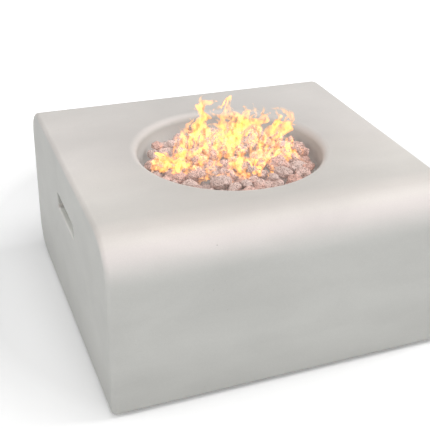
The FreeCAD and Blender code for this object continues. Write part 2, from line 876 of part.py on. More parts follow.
# ------------------------------------------------------------------- tubes and leads
def bend_path(points, radii):
    """A wire of straight runs joined by tangent arcs at the inner points."""
    edges = []
    start = points[0]
    for before, corner, after, radius in zip(points, points[1:], points[2:], radii):
        back = (before - corner).normalize()
        ahead = (after - corner).normalize()
        half = math.acos(back.dot(ahead)) / 2
        reach = radius / math.tan(half)
        enter = corner + back * reach
        leave = corner + ahead * reach
        bisector = (back + ahead).normalize()
        middle = corner + bisector * (radius / math.sin(half) - radius)
        edges.append(Part.LineSegment(start, enter).toShape())
        edges.append(Part.Arc(enter, middle, leave).toShape())
        start = leave
    edges.append(Part.LineSegment(start, points[-1]).toShape())
    return Part.Wire(edges)


def sweep_round(path, points, radius):
    """A solid round bar along a path."""
    heading = points[1] - points[0]
    circle = Part.Wire(Part.Circle(points[0], heading, radius).toShape())
    return path.makePipeShell([circle], True, True)


def add_shape(label, shape):
    part = doc.addObject("Part::Feature", label)
    part.Label = label
    part.Shape = shape
    subparts.append(part)
    return part


def spots_of(rows):
    return [Vector(*(size(item) for item in row)) for row in rows]


def make_tubes():
    """Two bent gas tubes: inlet fitting to valve, and valve to jet."""
    bore = size("tube_radius - tube_wall")
    inlet = spots_of([
        ("inlet_x", "fitting_back", "niche_height"),
        ("inlet_x", "inlet_y", "niche_height"),
        ("knob_x + valve_size / 2 + thread_long", "inlet_y", "niche_height"),
    ])
    feed = spots_of([
        ("knob_x", "tube_start", "niche_height"),
        ("knob_x", "tube_start - feed_run", "niche_height"),
        ("0", "bowl_y + feed_rise", "jet_end - feed_drop"),
        ("0", "bowl_y", "jet_end - feed_drop"),
        ("0", "bowl_y", "jet_end"),
    ])
    routes = (
        ("inlet_tube", inlet, ["inlet_bend"]),
        ("feed_tube", feed, ["feed_bend", "foot_bend", "jet_bend"]),
    )
    for label, points, bends in routes:
        path = bend_path(points, [size(bend) for bend in bends])
        outer = sweep_round(path, points, size("tube_radius"))
        inner = sweep_round(path, points, bore)
        add_shape(label, outer.cut(inner))


def make_tube_nuts():
    """The union nuts that hold the four tube ends on their threads."""
    ends = (
        ("inlet_tube_nut", "inlet_x", "fitting_back", "niche_height",
         Rotation(Vector(1, 0, 0), -90)),
        ("valve_inlet_nut", "knob_x + valve_size / 2 + thread_long", "inlet_y",
         "niche_height", Rotation(Vector(0, 1, 0), -90)),
        ("valve_outlet_nut", "knob_x", "tube_start", "niche_height",
         Rotation(Vector(1, 0, 0), -90)),
        ("jet_nut", "0", "bowl_y", "jet_end", Rotation()),
    )
    for label, x, y, z, rotation in ends:
        body = new_body(label)
        blank = hexagon(body, label + "_outline", "XY_Plane", "tube_nut_flats",
                        "tube_radius", offset="-tube_nut_long / 2")
        pad(body, blank, "tube_nut_long")
        thread = circles(body, label + "_thread", "XY_Plane", "thread_radius")
        pocket(body, thread, "tube_nut_long", reverse=True)
        place(body, x, y, z, rotation)


def make_probes():
    """Spark electrode and flame sensor on a bracket under the pan floor, with a
    guard over them that keeps the rocks off."""
    low, high = "pan_under - sheet", "pan_under"
    spots = [("-probe_spread", "probe_ring"), ("probe_spread", "probe_ring")]
    bracket = new_body("probe_bracket")
    plate = rounded(bracket, "bracket_outline", "XY_Plane", "-bracket_long / 2",
                    "bracket_long / 2", "probe_ring - bracket_wide / 2",
                    "probe_ring + bracket_wide / 2", ("bracket_wide / 6",) * 4,
                    offset=low)
    add_circle(plate, "ceramic_radius", "-probe_spread", "probe_ring")
    add_circle(plate, "sensor_radius", "probe_spread", "probe_ring")
    pad(bracket, plate, "sheet")

    ceramic = new_body("electrode_ceramic")
    tube = new_sketch(ceramic, "ceramic_section", "XY_Plane", "probe_base")
    add_circle(tube, "ceramic_radius", *spots[0])
    add_circle(tube, "electrode_radius", *spots[0])
    pad(ceramic, tube, "probe_top - probe_base - 8")

    wire = new_body("electrode_wire")
    rod = circles(wire, "electrode_section", "XY_Plane", "electrode_radius", [spots[0]],
                  offset="probe_base - wire_tail")
    pad(wire, rod, "probe_top - probe_base + wire_tail")

    sensor = new_body("flame_sensor")
    rod = circles(sensor, "sensor_section", "XY_Plane", "sensor_radius", [spots[1]],
                  offset="probe_base - wire_tail")
    tip = pad(sensor, rod, "probe_top - probe_base + wire_tail")

    def at_tip(point):
        return near(point.z, "probe_top")

    fillet(sensor, tip, "sensor_tip", "sensor_radius * 0.8", at_tip)

    guard = new_body("probe_guard")
    hood = polygon(guard, "guard_section", "XZ_Plane", [
        ("-guard_long / 2", "pan_floor"),
        ("sheet - guard_long / 2", "pan_floor"),
        ("sheet - guard_long / 2", "pan_floor + guard_high - sheet"),
        ("guard_long / 2 - sheet", "pan_floor + guard_high - sheet"),
        ("guard_long / 2 - sheet", "pan_floor"),
        ("guard_long / 2", "pan_floor"),
        ("guard_long / 2", "pan_floor + guard_high"),
        ("-guard_long / 2", "pan_floor + guard_high"),
    ], offset="-probe_ring - guard_wide / 2")
    pad(guard, hood, "guard_wide")
    slots = circles(guard, "guard_holes", "XY_Plane", "drain_radius",
                    [("-guard_long / 4", "probe_ring"), ("0", "probe_ring"),
                     ("guard_long / 4", "probe_ring")],
                    offset="pan_floor + guard_high + 1")
    pocket(guard, slots, "sheet + 2")
    for part in (bracket, ceramic, wire, sensor, guard):
        under_bowl(part)


def make_leads():
    """The spark lead to the igniter and the sensor lead to the valve."""
    routes = (
        ("spark_lead", [
            ("igniter_x", "housing_back", "niche_height"),
            ("igniter_x", "housing_back - 24", "niche_height"),
            ("-probe_spread", "bowl_y + probe_ring", "niche_height + 14"),
            ("-probe_spread", "bowl_y + probe_ring", "probe_base - wire_tail"),
        ]),
        ("sensor_lead", [
            ("knob_x + valve_size / 4", "valve_back", "niche_height + valve_size / 3"),
            ("knob_x + valve_size / 4", "valve_back - 40", "niche_height + valve_size / 3"),
            ("probe_spread", "bowl_y + probe_ring", "niche_height + 20"),
            ("probe_spread", "bowl_y + probe_ring", "probe_base - wire_tail"),
        ]),
    )
    for label, rows in routes:
        points = spots_of(rows)
        path = bend_path(points, [size("lead_bend")] * 2)
        add_shape(label, sweep_round(path, points, size("lead_radius")))


# -------------------------------------------------------------------------- controls
def make_control_panel():
    """The steel plate that closes the inner end of the recess."""
    body = new_body("control_panel")
    plate = rounded(body, "panel_outline", "XZ_Plane", "-panel_wide / 2",
                    "panel_wide / 2", "niche_height - panel_high / 2",
                    "niche_height + panel_high / 2", ("niche_corner",) * 4,
                    offset="-panel_face")
    pad(body, plate, "sheet")
    holes = new_sketch(body, "panel_holes", "XZ_Plane", "-panel_face - 1")
    add_circle(holes, "spindle_radius + 2", "knob_x", "niche_height")
    add_circle(holes, "neck_radius + play", "igniter_x", "niche_height")
    add_circle(holes, "bulkhead_radius + play", "inlet_x", "niche_height")
    for sx, sz in CORNERS:
        add_circle(holes, "panel_screw_radius + play / 2", f"{sx} * panel_screw_x",
                   f"niche_height + {sz} * panel_screw_z")
    for side in (-1, 1):
        add_circle(holes, "valve_screw_radius + play / 2",
                   f"knob_x + {side} * valve_screw_ring", "niche_height")
    pocket(body, holes, "sheet + 2", reverse=True)


def make_panel_screws():
    """Screws from inside the body, through the panel into the sleeve's end."""
    spots = [(f"{sx} * panel_screw_x", f"niche_height + {sz} * panel_screw_z")
             for sx, sz in CORNERS]
    body = new_body("panel_screws")
    heads = circles(body, "panel_screw_heads", "XZ_Plane", "panel_head_radius", spots,
                    offset="-panel_back")
    head = pad(body, heads, "panel_head_high")

    def at_head_top(point):
        return near(point.y, "panel_back - panel_head_high")

    fillet(body, head, "panel_head_doming", "panel_head_high * 0.7", at_head_top)
    shanks = circles(body, "panel_screw_shanks", "XZ_Plane", "panel_screw_radius", spots,
                     offset="-panel_back")
    pad(body, shanks, "panel_screw_long - 1", reverse=True)


def make_gas_valve():
    """The valve block with its collar against the panel, a spring chamber round the
    spindle, an inlet stub on its side and an outlet stub at its back."""
    body = new_body("gas_valve")
    half = "valve_size / 2"
    block = rounded(body, "valve_block", "XY_Plane", f"-{half}", half, f"-{half}", half,
                    ("valve_size / 6",) * 4, offset="-collar_long - valve_long")
    pad(body, block, "valve_long")
    collar = circles(body, "valve_collar", "XY_Plane", "collar_radius",
                     offset="-collar_long - 1")
    pad(body, collar, "collar_long + 1")
    outlet = circles(body, "valve_outlet", "XY_Plane", "thread_radius",
                     offset="-collar_long - valve_long")
    pad(body, outlet, "thread_long", reverse=True)
    stub = circles(body, "valve_inlet", "YZ_Plane", "thread_radius",
                   [("0", "stub_inset - collar_long - valve_long")], offset=half)
    pad(body, stub, "thread_long")
    chamber = circles(body, "spring_chamber", "XY_Plane", "chamber_radius", offset="1")
    pocket(body, chamber, "chamber_deep + 1")
    bore = circles(body, "spindle_bore", "XY_Plane", "spindle_radius + running",
                   offset="1")
    pocket(body, bore, "chamber_deep + spindle_deep + 1")
    screws = circles(body, "valve_screw_bores", "XY_Plane", "valve_screw_radius",
                     [("-valve_screw_ring", "0"), ("valve_screw_ring", "0")], offset="1")
    pocket(body, screws, "collar_long + 4")
    out_bore = circles(body, "outlet_bore", "XY_Plane", "tube_radius - tube_wall",
                       offset="-collar_long - valve_long - thread_long - 1")
    pocket(body, out_bore, "thread_long + 6", reverse=True)
    in_bore = circles(body, "inlet_bore_cut", "YZ_Plane", "tube_radius - tube_wall",
                      [("0", "stub_inset - collar_long - valve_long")],
                      offset=f"{half} + thread_long + 1")
    pocket(body, in_bore, "thread_long + 6")
    place(body, "knob_x", "panel_back", "niche_height", TO_BACK)


def make_valve_screws():
    """Two domed screws through the panel into the valve's collar."""
    body = new_body("valve_screws")
    spots = [("-valve_screw_ring", "0"), ("valve_screw_ring", "0")]
    heads = circles(body, "valve_screw_heads", "XY_Plane", "valve_head_radius", spots,
                    offset="sheet")
    head = pad(body, heads, "valve_head_high")

    def at_head_top(point):
        return near(point.z, "sheet + valve_head_high")

    fillet(body, head, "valve_head_doming", "valve_head_high * 0.7", at_head_top)
    shanks = circles(body, "valve_screw_shanks", "XY_Plane", "valve_screw_radius", spots,
                     offset="sheet")
    pad(body, shanks, "sheet + collar_long + 2", reverse=True)
    place(body, "knob_x", "panel_back", "niche_height", TO_BACK)


def make_spindle():
    """The valve's spindle: a rod with a flat where the knob grips it."""
    body = new_body("valve_spindle")
    rod = circles(body, "spindle_section", "XY_Plane", "spindle_radius",
                  offset="spindle_start")
    pad(body, rod, "spindle_end - spindle_start")
    flat = polygon(body, "spindle_flat_cut", "XY_Plane", [
        ("-spindle_radius - 1", "spindle_flat"),
        ("spindle_radius + 1", "spindle_flat"),
        ("spindle_radius + 1", "spindle_radius + 1"),
        ("-spindle_radius - 1", "spindle_radius + 1"),
    ], offset="knob_base - panel_back")
    pocket(body, flat, "knob_high", reverse=True)
    place(body, "knob_x", "panel_back", "niche_height", TO_BACK)


def make_spring_seat():
    """The washer that rides on the spindle and presses the return spring."""
    body = turned("spring_seat", [
        ("spindle_radius + running", "-seat_place"),
        ("chamber_radius - play", "-seat_place"),
        ("chamber_radius - play", "seat_high - seat_place"),
        ("spindle_radius + running", "seat_high - seat_place"),
    ])
    place(body, "knob_x", "panel_back", "niche_height", TO_BACK)


RUNS_PER_TURN = 16


def coil(radius, wire, low, high, turns):
    """A round-wire coil between two heights, its helix drawn as short mitred runs."""
    count = round(turns * RUNS_PER_TURN)
    climb = high - low - wire
    points = []
    for index in range(count + 1):
        turn = 2 * math.pi * index / RUNS_PER_TURN
        level = low + wire / 2 + climb * index / count
        points.append(Vector(radius * math.cos(turn), radius * math.sin(turn), level))
    heading = points[1] - points[0]
    circle = Part.Wire(Part.Circle(points[0], heading, wire / 2).toShape())
    mitred = 1
    return Part.makePolygon(points).makePipeShell([circle], True, False, mitred)


def make_springs():
    """Knob return spring, button return spring and battery contact spring."""
    springs = (
        ("knob_spring", "knob_x", "panel_back", "spring_radius", "spring_wire",
         "-chamber_deep", "-seat_place", 4),
        ("button_spring", "igniter_x", "flange_seat", "button_radius + button_wire / 2",
         "button_wire", "neck_end - flange_seat - button_well", "-flange_thick", 2.5),
        ("battery_spring", "igniter_x", "battery_back", "contact_radius",
         "contact_wire", "-contact_long", "0", 3),
    )
    for label, x, y, radius, wire, low, high, turns in springs:
        shape = coil(size(radius), size(wire), size(low), size(high), turns)
        place(add_shape(label, shape), x, y, "niche_height", TO_BACK)


def make_control_knob():
    """The knob: a skirted cup on a hub, with a grip bar across its face."""
    face = "knob_high - knob_grip + 1"
    body = turned("control_knob", [
        ("0", "knob_taper"),
        ("knob_hub_radius", "knob_taper"),
        ("knob_hub_radius", f"{face} - knob_face"),
        ("knob_radius - knob_skirt", f"{face} - knob_face"),
        ("knob_radius - knob_skirt", "0"),
        ("knob_radius", "0"),
        ("knob_radius", "knob_rim"),
        ("knob_radius - knob_taper", face),
        ("0", face),
    ])
    grip = rounded(body, "grip_bar", "XY_Plane", "-bar_half", "bar_half",
                   "knob_taper - knob_radius", "knob_radius - knob_taper - 0.5",
                   ("bar_end",) * 4, offset="knob_high - knob_grip")
    pad(body, grip, "knob_grip")
    bore = circles(body, "spindle_socket", "XY_Plane", "spindle_radius", offset="1")
    pocket(body, bore, "knob_high - knob_grip - 1", reverse=True)
    key = polygon(body, "socket_flat", "XY_Plane", [
        ("-spindle_radius", "spindle_flat"),
        ("spindle_radius", "spindle_flat"),
        ("spindle_radius", "spindle_radius + 1"),
        ("-spindle_radius", "spindle_radius + 1"),
    ], offset="2")
    pad(body, key, "knob_high - knob_grip - 1")
    place(body, "knob_x", "knob_base", "niche_height", TO_BACK)


def make_igniter():
    """The spark unit behind the panel, its nut, seal, screw cap and button."""
    housing = turned("igniter_housing", [
        ("0", "-housing_long"),
        ("housing_radius", "-housing_long"),
        ("housing_radius", "0"),
        ("neck_radius", "0"),
        ("neck_radius", "neck_long"),
        ("button_flange + play", "neck_long"),
        ("button_flange + play", "neck_long - button_well"),
        ("battery_radius + play", "neck_long - button_well"),
        ("battery_radius + play", "housing_wall - housing_long"),
        ("0", "housing_wall - housing_long"),
    ])
    nut = new_body("igniter_nut")
    blank = hexagon(nut, "igniter_nut_outline", "XY_Plane", "igniter_nut_flats",
                    "neck_radius + running", offset="sheet")
    pad(nut, blank, "igniter_nut_high")
    seal = turned("cap_seal", [
        ("neck_radius + running", "sheet + igniter_nut_high"),
        ("cap_radius - 1.2", "sheet + igniter_nut_high"),
        ("cap_radius - 1.2", "sheet + igniter_nut_high + seal_thick"),
        ("neck_radius + running", "sheet + igniter_nut_high + seal_thick"),
    ])
    cap = turned("igniter_cap", [
        ("neck_radius + running", "0"),
        ("cap_radius", "0"),
        ("cap_radius", "cap_high - 1.5"),
        ("cap_radius - 1.5", "cap_high"),
        ("button_radius + play", "cap_high"),
        ("button_radius + play", "cap_high - cap_face"),
        ("neck_radius + running", "cap_high - cap_face"),
    ])
    groove = circles(cap, "cap_grip", "XY_Plane", "cap_groove",
                     [("cap_radius + cap_groove / 3", "0")], offset="-1")
    first = pocket(cap, groove, "cap_high + 2", reverse=True)
    around(cap, [first], "12", "cap_grips")
    place(cap, "igniter_x", "cap_base", "niche_height", TO_BACK)
    button = turned("igniter_button", [
        ("0", "-button_stem_long"),
        ("button_stem_radius", "-button_stem_long"),
        ("button_stem_radius", "-flange_thick"),
        ("button_flange", "-flange_thick"),
        ("button_flange", "0"),
        ("button_radius", "0"),
        ("button_radius", "cap_face + button_proud - 1"),
        ("button_radius - 1", "cap_face + button_proud"),
        ("0", "cap_face + button_proud"),
    ])
    place(button, "igniter_x", "flange_seat", "niche_height", TO_BACK)
    battery = turned("battery", [
        ("0", "0"),
        ("battery_radius", "0"),
        ("battery_radius", "battery_long - nub_high"),
        ("battery_nub", "battery_long - nub_high"),
        ("battery_nub", "battery_long"),
        ("0", "battery_long"),
    ])
    place(battery, "igniter_x", "battery_back", "niche_height", TO_BACK)
    for part in (housing, nut, seal):
        place(part, "igniter_x", "panel_back", "niche_height", TO_BACK)


def make_gas_inlet():
    """The male bulkhead fitting for the hose, and its locknut."""
    fitting = new_body("gas_inlet_fitting")
    flange = hexagon(fitting, "inlet_flange", "XY_Plane", "inlet_flats",
                     offset="-inlet_hex_long")
    pad(fitting, flange, "inlet_hex_long")
    bulkhead = circles(fitting, "inlet_bulkhead", "XY_Plane", "bulkhead_radius")
    pad(fitting, bulkhead, "sheet + inlet_nut_high")
    male = circles(fitting, "inlet_thread", "XY_Plane", "inlet_radius",
                   offset="sheet + inlet_nut_high")
    spigot = pad(fitting, male, "inlet_long")

    def at_end(point):
        return near(point.z, "inlet_end")

    chamfer(fitting, spigot, "inlet_lead_in", "1", at_end)
    tail = circles(fitting, "inlet_tail", "XY_Plane", "thread_radius",
                   offset="-inlet_hex_long")
    pad(fitting, tail, "thread_long", reverse=True)
    bore = circles(fitting, "inlet_gas_bore", "XY_Plane", "tube_radius - tube_wall",
                   offset="inlet_end + 1")
    pocket(fitting, bore, "inlet_end + inlet_hex_long + thread_long + 2")
    seat = circles(fitting, "inlet_seat", "XY_Plane", "inlet_bore", offset="inlet_end + 1")
    pocket(fitting, seat, "6")

    nut = new_body("inlet_nut")
    blank = hexagon(nut, "inlet_nut_outline", "XY_Plane", "inlet_flats",
                    "bulkhead_radius + running", offset="sheet")
    pad(nut, blank, "inlet_nut_high")
    for part in (fitting, nut):
        place(part, "inlet_x", "panel_back", "niche_height", TO_BACK)


# ------------------------------------------------------------------------- lava rock
GOLDEN = (1 + math.sqrt(5)) / 2
CARDINAL = [(0, a, b * GOLDEN) for a in (-1, 1) for b in (-1, 1)]
ICO_POINTS = [tuple(point[(axis + turn) % 3] for axis in range(3))
              for turn in range(3) for point in CARDINAL]


def ico_faces():
    """The twenty triangles of the icosahedron, counter-clockwise from outside."""
    faces = []
    count = len(ICO_POINTS)
    for a in range(count):
        for b in range(a + 1, count):
            for c in range(b + 1, count):
                trio = [Vector(*ICO_POINTS[i]) for i in (a, b, c)]
                sides = [(trio[i] - trio[i - 1]).Length for i in range(3)]
                if max(sides) > 2.01:
                    continue
                normal = (trio[1] - trio[0]).cross(trio[2] - trio[0])
                outward = normal.dot(trio[0]) > 0
                faces.append((a, b, c) if outward else (a, c, b))
    return faces


FACES = ico_faces()
EDGES = sorted({tuple(sorted((face[i], face[i - 1]))) for face in FACES for i in range(3)})


def new_rock(dice, across):
    """Corner points of one rough stone about its own middle."""
    spans = (across / 2 * dice.uniform(0.95, 1.15), across / 2 * dice.uniform(0.72, 0.95),
             across / 2 * dice.uniform(0.58, 0.78))
    tilt = Rotation(dice.uniform(0, 360), dice.uniform(-28, 28), dice.uniform(-28, 28))
    scale = 1 / math.sqrt(1 + GOLDEN ** 2)
    points = []
    for point in ICO_POINTS:
        swell = scale * dice.uniform(0.86, 1.1)
        spot = Vector(*(value * span * swell for value, span in zip(point, spans)))
        spot = tilt.multVec(spot)
        points.append((spot.x, spot.y, spot.z))
    return points


class Stone:
    """A rock at a place, with what the settling needs worked out once."""

    def __init__(self, corners, x, y):
        self.points = [(px + x, py + y, pz) for px, py, pz in corners]
        self.x, self.y = x, y
        self.reach = max(math.hypot(px, py) for px, py, _ in corners)
        self.low = min(point[2] for point in corners)
        self.high = max(point[2] for point in corners)

    def lift(self, rise):
        self.points = [(px, py, pz + rise) for px, py, pz in self.points]
        self.low += rise
        self.high += rise

    def surface(self, x, y, upper):
        """Height of the upper or lower side over a point, or None beside the rock."""
        best = None
        for a, b, c in FACES:
            ax, ay, az = self.points[a]
            bx, by, bz = self.points[b]
            cx, cy, cz = self.points[c]
            area = (bx - ax) * (cy - ay) - (cx - ax) * (by - ay)
            if abs(area) < 1e-9 or (area > 0) != upper:
                continue
            u = ((bx - x) * (cy - y) - (cx - x) * (by - y)) / area
            v = ((cx - x) * (ay - y) - (ax - x) * (cy - y)) / area
            w = 1 - u - v
            if u < 0 or v < 0 or w < 0:
                continue
            level = u * az + v * bz + w * cz
            if best is None or (level > best) == upper:
                best = level
        return best


def edge_gap(one, two):
    """Height of edge one over edge two where they cross in plan, or None."""
    (ax, ay, az), (bx, by, bz) = one
    (cx, cy, cz), (dx, dy, dz) = two
    if max(ax, bx) < min(cx, dx) or max(cx, dx) < min(ax, bx):
        return None
    if max(ay, by) < min(cy, dy) or max(cy, dy) < min(ay, by):
        return None
    ux, uy, vx, vy = bx - ax, by - ay, dx - cx, dy - cy
    cross = ux * vy - uy * vx
    if abs(cross) < 1e-9:
        return None
    along = ((cx - ax) * vy - (cy - ay) * vx) / cross
    back = ((cx - ax) * uy - (cy - ay) * ux) / cross
    if not (0 <= along <= 1 and 0 <= back <= 1):
        return None
    return az + along * (bz - az) - cz - back * (dz - cz)


def drop_on(upper, lower):
    """How far the upper rock can fall before it meets the lower one."""
    gap = math.inf
    for x, y, z in upper.points:
        if math.hypot(x - lower.x, y - lower.y) < lower.reach:
            level = lower.surface(x, y, True)
            if level is not None:
                gap = min(gap, z - level)
    for x, y, z in lower.points:
        if math.hypot(x - upper.x, y - upper.y) < upper.reach:
            level = upper.surface(x, y, False)
            if level is not None:
                gap = min(gap, level - z)
    for a, b in EDGES:
        one = (upper.points[a], upper.points[b])
        for c, d in EDGES:
            crossing = edge_gap(one, (lower.points[c], lower.points[d]))
            if crossing is not None:
                gap = min(gap, crossing)
    return gap


class Hearth:
    """What lies under the rocks: pan floor, flange, burner, guard and screw heads."""

    def __init__(self):
        self.floor = size("pan_floor")
        self.flange = size("flange_top")
        self.pan = size("pan_radius - sheet")
        self.corner = size("pan_corner - sheet")
        self.reach = size("bowl_radius - heap_inset")
        self.ring = (size("ring_radius - ring_wide / 2"), size("ring_radius + ring_wide / 2"))
        self.ring_top = size("ring_top")
        # the burner's rounded edges, taken as a bevel that just touches the round
        self.bevel = size("ring_round") * (2 - math.sqrt(2))
        self.bar_top = size("bar_top")
        self.bar = size("bar_wide / 2")
        self.hub = size("hub_radius")
        self.guard = (size("guard_long / 2"), size("probe_ring"), size("guard_wide / 2"))
        self.guard_top = size("pan_floor + guard_high")
        ring = size("pan_screw_ring")
        turns = [math.radians(45 + 90 * index) for index in range(4)]
        self.screws = [(ring * math.cos(turn), ring * math.sin(turn)) for turn in turns]
        self.head = size("pan_head_radius")
        self.head_top = size("flange_top + pan_head_high")
        self.rims = self.upper_rims()

    def upper_rims(self):
        """Every upper edge that a rock could lean on, as short straight pieces."""
        loops = [circle_points(0, 0, self.pan, self.flange, 100)]
        for radius, inward in zip(self.ring, (self.bevel, -self.bevel)):
            loops.append(circle_points(0, 0, radius + inward, self.ring_top, 70))
            loops.append(circle_points(0, 0, radius, self.ring_top - self.bevel, 70))
        for x, y in self.screws:
            loops.append(circle_points(x, y, self.head, self.head_top, 12))
        for side in (-1, 1):
            for inward, level in ((self.bevel, self.bar_top),
                                  (0, self.bar_top - self.bevel)):
                loops.append([(step * self.ring[0] / 4, side * (self.bar - inward), level)
                              for step in range(-4, 5)])
        half_x, mid_y, half_y = self.guard
        loops.append([(sx * half_x, mid_y + sy * half_y, self.guard_top)
                      for sx, sy in ((-1, -1), (1, -1), (1, 1), (-1, 1))])
        return [(loop[index - 1], loop[index]) for loop in loops
                for index in range(len(loop))]

    def level(self, x, y):
        """Height of the highest thing under a point."""
        reach = math.hypot(x, y)
        half_x, mid_y, half_y = self.guard
        if abs(x) <= half_x and abs(y - mid_y) <= half_y:
            return self.guard_top
        if reach >= self.pan:
            at_head = any(math.hypot(x - sx, y - sy) <= self.head for sx, sy in self.screws)
            return self.head_top if at_head else self.flange
        into_corner = reach - self.pan + self.corner
        if into_corner > 0:
            return self.floor + self.corner - math.sqrt(self.corner ** 2 - into_corner ** 2)
        if self.ring[0] <= reach <= self.ring[1]:
            in_from_edge = min(reach - self.ring[0], self.ring[1] - reach)
            return self.ring_top - max(0, self.bevel - in_from_edge)
        if reach <= self.hub:
            return self.bar_top
        if abs(y) <= self.bar and reach <= self.ring[1]:
            return self.bar_top - max(0, self.bevel - self.bar + abs(y))
        return self.floor

    def drop_of(self, stone):
        """How far a rock can fall before it meets the hearth."""
        gap = min(z - self.level(x, y) for x, y, z in stone.points)
        for start, end in self.rims:
            middle = ((start[0] + end[0]) / 2 - stone.x, (start[1] + end[1]) / 2 - stone.y)
            half = math.hypot(start[0] - end[0], start[1] - end[1]) / 2
            if math.hypot(*middle) > stone.reach + half:
                continue
            level = stone.surface(start[0], start[1], False)
            if level is not None:
                gap = min(gap, level - start[2])
            for a, b in EDGES:
                crossing = edge_gap((stone.points[a], stone.points[b]), (start, end))
                if crossing is not None:
                    gap = min(gap, crossing)
        return gap


def circle_points(x, y, radius, level, count):
    turns = [2 * math.pi * index / count for index in range(count)]
    return [(x + radius * math.cos(turn), y + radius * math.sin(turn), level)
            for turn in turns]


def rock_solid(stone):
    """The closed solid between a rock's triangles."""
    corners = [Vector(*point) for point in stone.points]
    faces = []
    for a, b, c in FACES:
        outline = Part.makePolygon([corners[a], corners[b], corners[c], corners[a]])
        faces.append(Part.Face(outline))
    return Part.Solid(Part.makeShell(faces))


# Shares of the rock size: the bed starts with coarse rocks, finer ones follow.
COARSE_SHARES = (0.95, 1.05, 1.15)
FINE_SHARES = (0.5, 0.62, 0.75, 0.9, 1.05)
COARSE_COUNT = 42


def settle_rocks():
    """Fill the bowl: each rock falls straight down at the lowest of several places
    and stops a hair above what carries it, until the heap has its height."""
    dice = random.Random(11)
    hearth = Hearth()
    across = size("rock_size")
    edge = size("height - heap_edge_drop")
    middle = size("height - heap_middle_drop")
    settled = []
    misses = 0
    while misses < 70:
        shares = COARSE_SHARES if len(settled) < COARSE_COUNT else FINE_SHARES
        corners = new_rock(dice, across * dice.choice(shares))
        best = None
        for _ in range(24):
            turn = dice.uniform(0, 2 * math.pi)
            stone = Stone(corners, 0, 0)
            out = (hearth.reach - stone.reach) * dice.random() ** 0.4
            stone = Stone(corners, out * math.cos(turn), out * math.sin(turn))
            stone.lift(size("height") + across - stone.low)
            fall = hearth.drop_of(stone)
            for other in settled:
                apart = math.hypot(stone.x - other.x, stone.y - other.y)
                if apart < stone.reach + other.reach and stone.low - other.high < fall:
                    fall = min(fall, drop_on(stone, other))
            stone.lift(size("rock_gap") - fall)
            share = (out / hearth.reach) ** 2
            if stone.high > middle + (edge - middle) * share:
                continue
            if best is None or stone.low < best.low:
                best = stone
        if best is None:
            misses += 1
        else:
            settled.append(best)
    return settled


def make_lava_rocks():
    """The bed of lava rock, in three layers from the pan up."""
    stones = sorted(settle_rocks(), key=lambda stone: stone.low)
    layers = ("lava_rocks_lower", "lava_rocks_middle", "lava_rocks_upper")
    share = math.ceil(len(stones) / len(layers))
    for index, label in enumerate(layers):
        layer = stones[index * share:(index + 1) * share]
        solids = [rock_solid(stone) for stone in layer]
        under_bowl(add_shape(label, Part.makeCompound(solids)))


# ------------------------------------------------------------------ build and export
make_stone_body()
make_feet()
make_burner_pan()
make_pan_fasteners()
make_burner_ring()
make_burner_nut()
make_heat_shield()
make_air_mixer()
make_gas_jet()
make_tubes()
make_tube_nuts()
make_probes()
make_leads()
make_control_panel()
make_panel_screws()
make_gas_valve()
make_valve_screws()
make_spindle()
make_spring_seat()
make_springs()
make_control_knob()
make_igniter()
make_gas_inlet()
make_lava_rocks()
doc.recompute()

for item in doc.Objects:
    if "Invalid" in item.State or "Error" in item.State:
        raise RuntimeError(f"{item.Name} failed: {item.State}")
for part in subparts:
    if part.Shape.isNull() or not part.Shape.isValid():
        raise RuntimeError(f"{part.Label} has no valid shape")

os.makedirs("parts", exist_ok=True)
for part in subparts:
    part.Shape.exportStep(f"parts/{part.Label}.step")
    print(part.Label, len(part.Shape.Solids), round(part.Shape.Volume))
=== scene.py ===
"""Gas fire pit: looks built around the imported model. Lengths are metres unless named."""
import math
import random

import bmesh
import bpy
from mathutils import Euler, Matrix, Vector, noise


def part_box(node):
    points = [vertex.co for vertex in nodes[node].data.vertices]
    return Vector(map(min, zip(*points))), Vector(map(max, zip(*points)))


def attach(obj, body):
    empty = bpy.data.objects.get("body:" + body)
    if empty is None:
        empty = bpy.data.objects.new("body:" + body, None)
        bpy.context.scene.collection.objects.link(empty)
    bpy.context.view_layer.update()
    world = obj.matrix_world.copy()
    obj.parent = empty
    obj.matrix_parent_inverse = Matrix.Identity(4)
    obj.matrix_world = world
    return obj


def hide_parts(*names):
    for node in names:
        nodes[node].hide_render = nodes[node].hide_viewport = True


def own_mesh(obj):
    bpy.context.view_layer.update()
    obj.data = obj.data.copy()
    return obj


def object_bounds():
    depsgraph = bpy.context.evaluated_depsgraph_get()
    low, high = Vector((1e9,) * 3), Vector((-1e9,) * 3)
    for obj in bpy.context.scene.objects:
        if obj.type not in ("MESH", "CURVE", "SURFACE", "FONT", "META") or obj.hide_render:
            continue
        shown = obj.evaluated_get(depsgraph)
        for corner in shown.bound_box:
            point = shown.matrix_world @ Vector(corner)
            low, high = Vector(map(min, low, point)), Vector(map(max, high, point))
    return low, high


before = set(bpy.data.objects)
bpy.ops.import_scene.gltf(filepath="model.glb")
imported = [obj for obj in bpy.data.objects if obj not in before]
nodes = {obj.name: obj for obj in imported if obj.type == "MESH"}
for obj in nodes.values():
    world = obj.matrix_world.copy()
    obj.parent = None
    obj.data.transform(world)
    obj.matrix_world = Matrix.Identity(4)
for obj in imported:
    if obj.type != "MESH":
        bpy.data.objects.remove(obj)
cad_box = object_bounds()

# ------------------------------------------------------------------------------ camera
# The camera looks down on the front-left corner of the fire pit. Its shift is small, so
# that the other views keep the whole object in sight.
EYE = Vector((-0.5354093, -1.3724059, 0.9565209))
YAW, PITCH, ROLL = 0.4071, 0.4569, 0.0342
# in pixels: the frame's side, the focal length and where the camera's axis goes through
IMAGE_SIDE = 430
FOCAL_LENGTH = 896.9981
AXIS_X, AXIS_Y = 255.0, 180.0
SENSOR_MM = 36

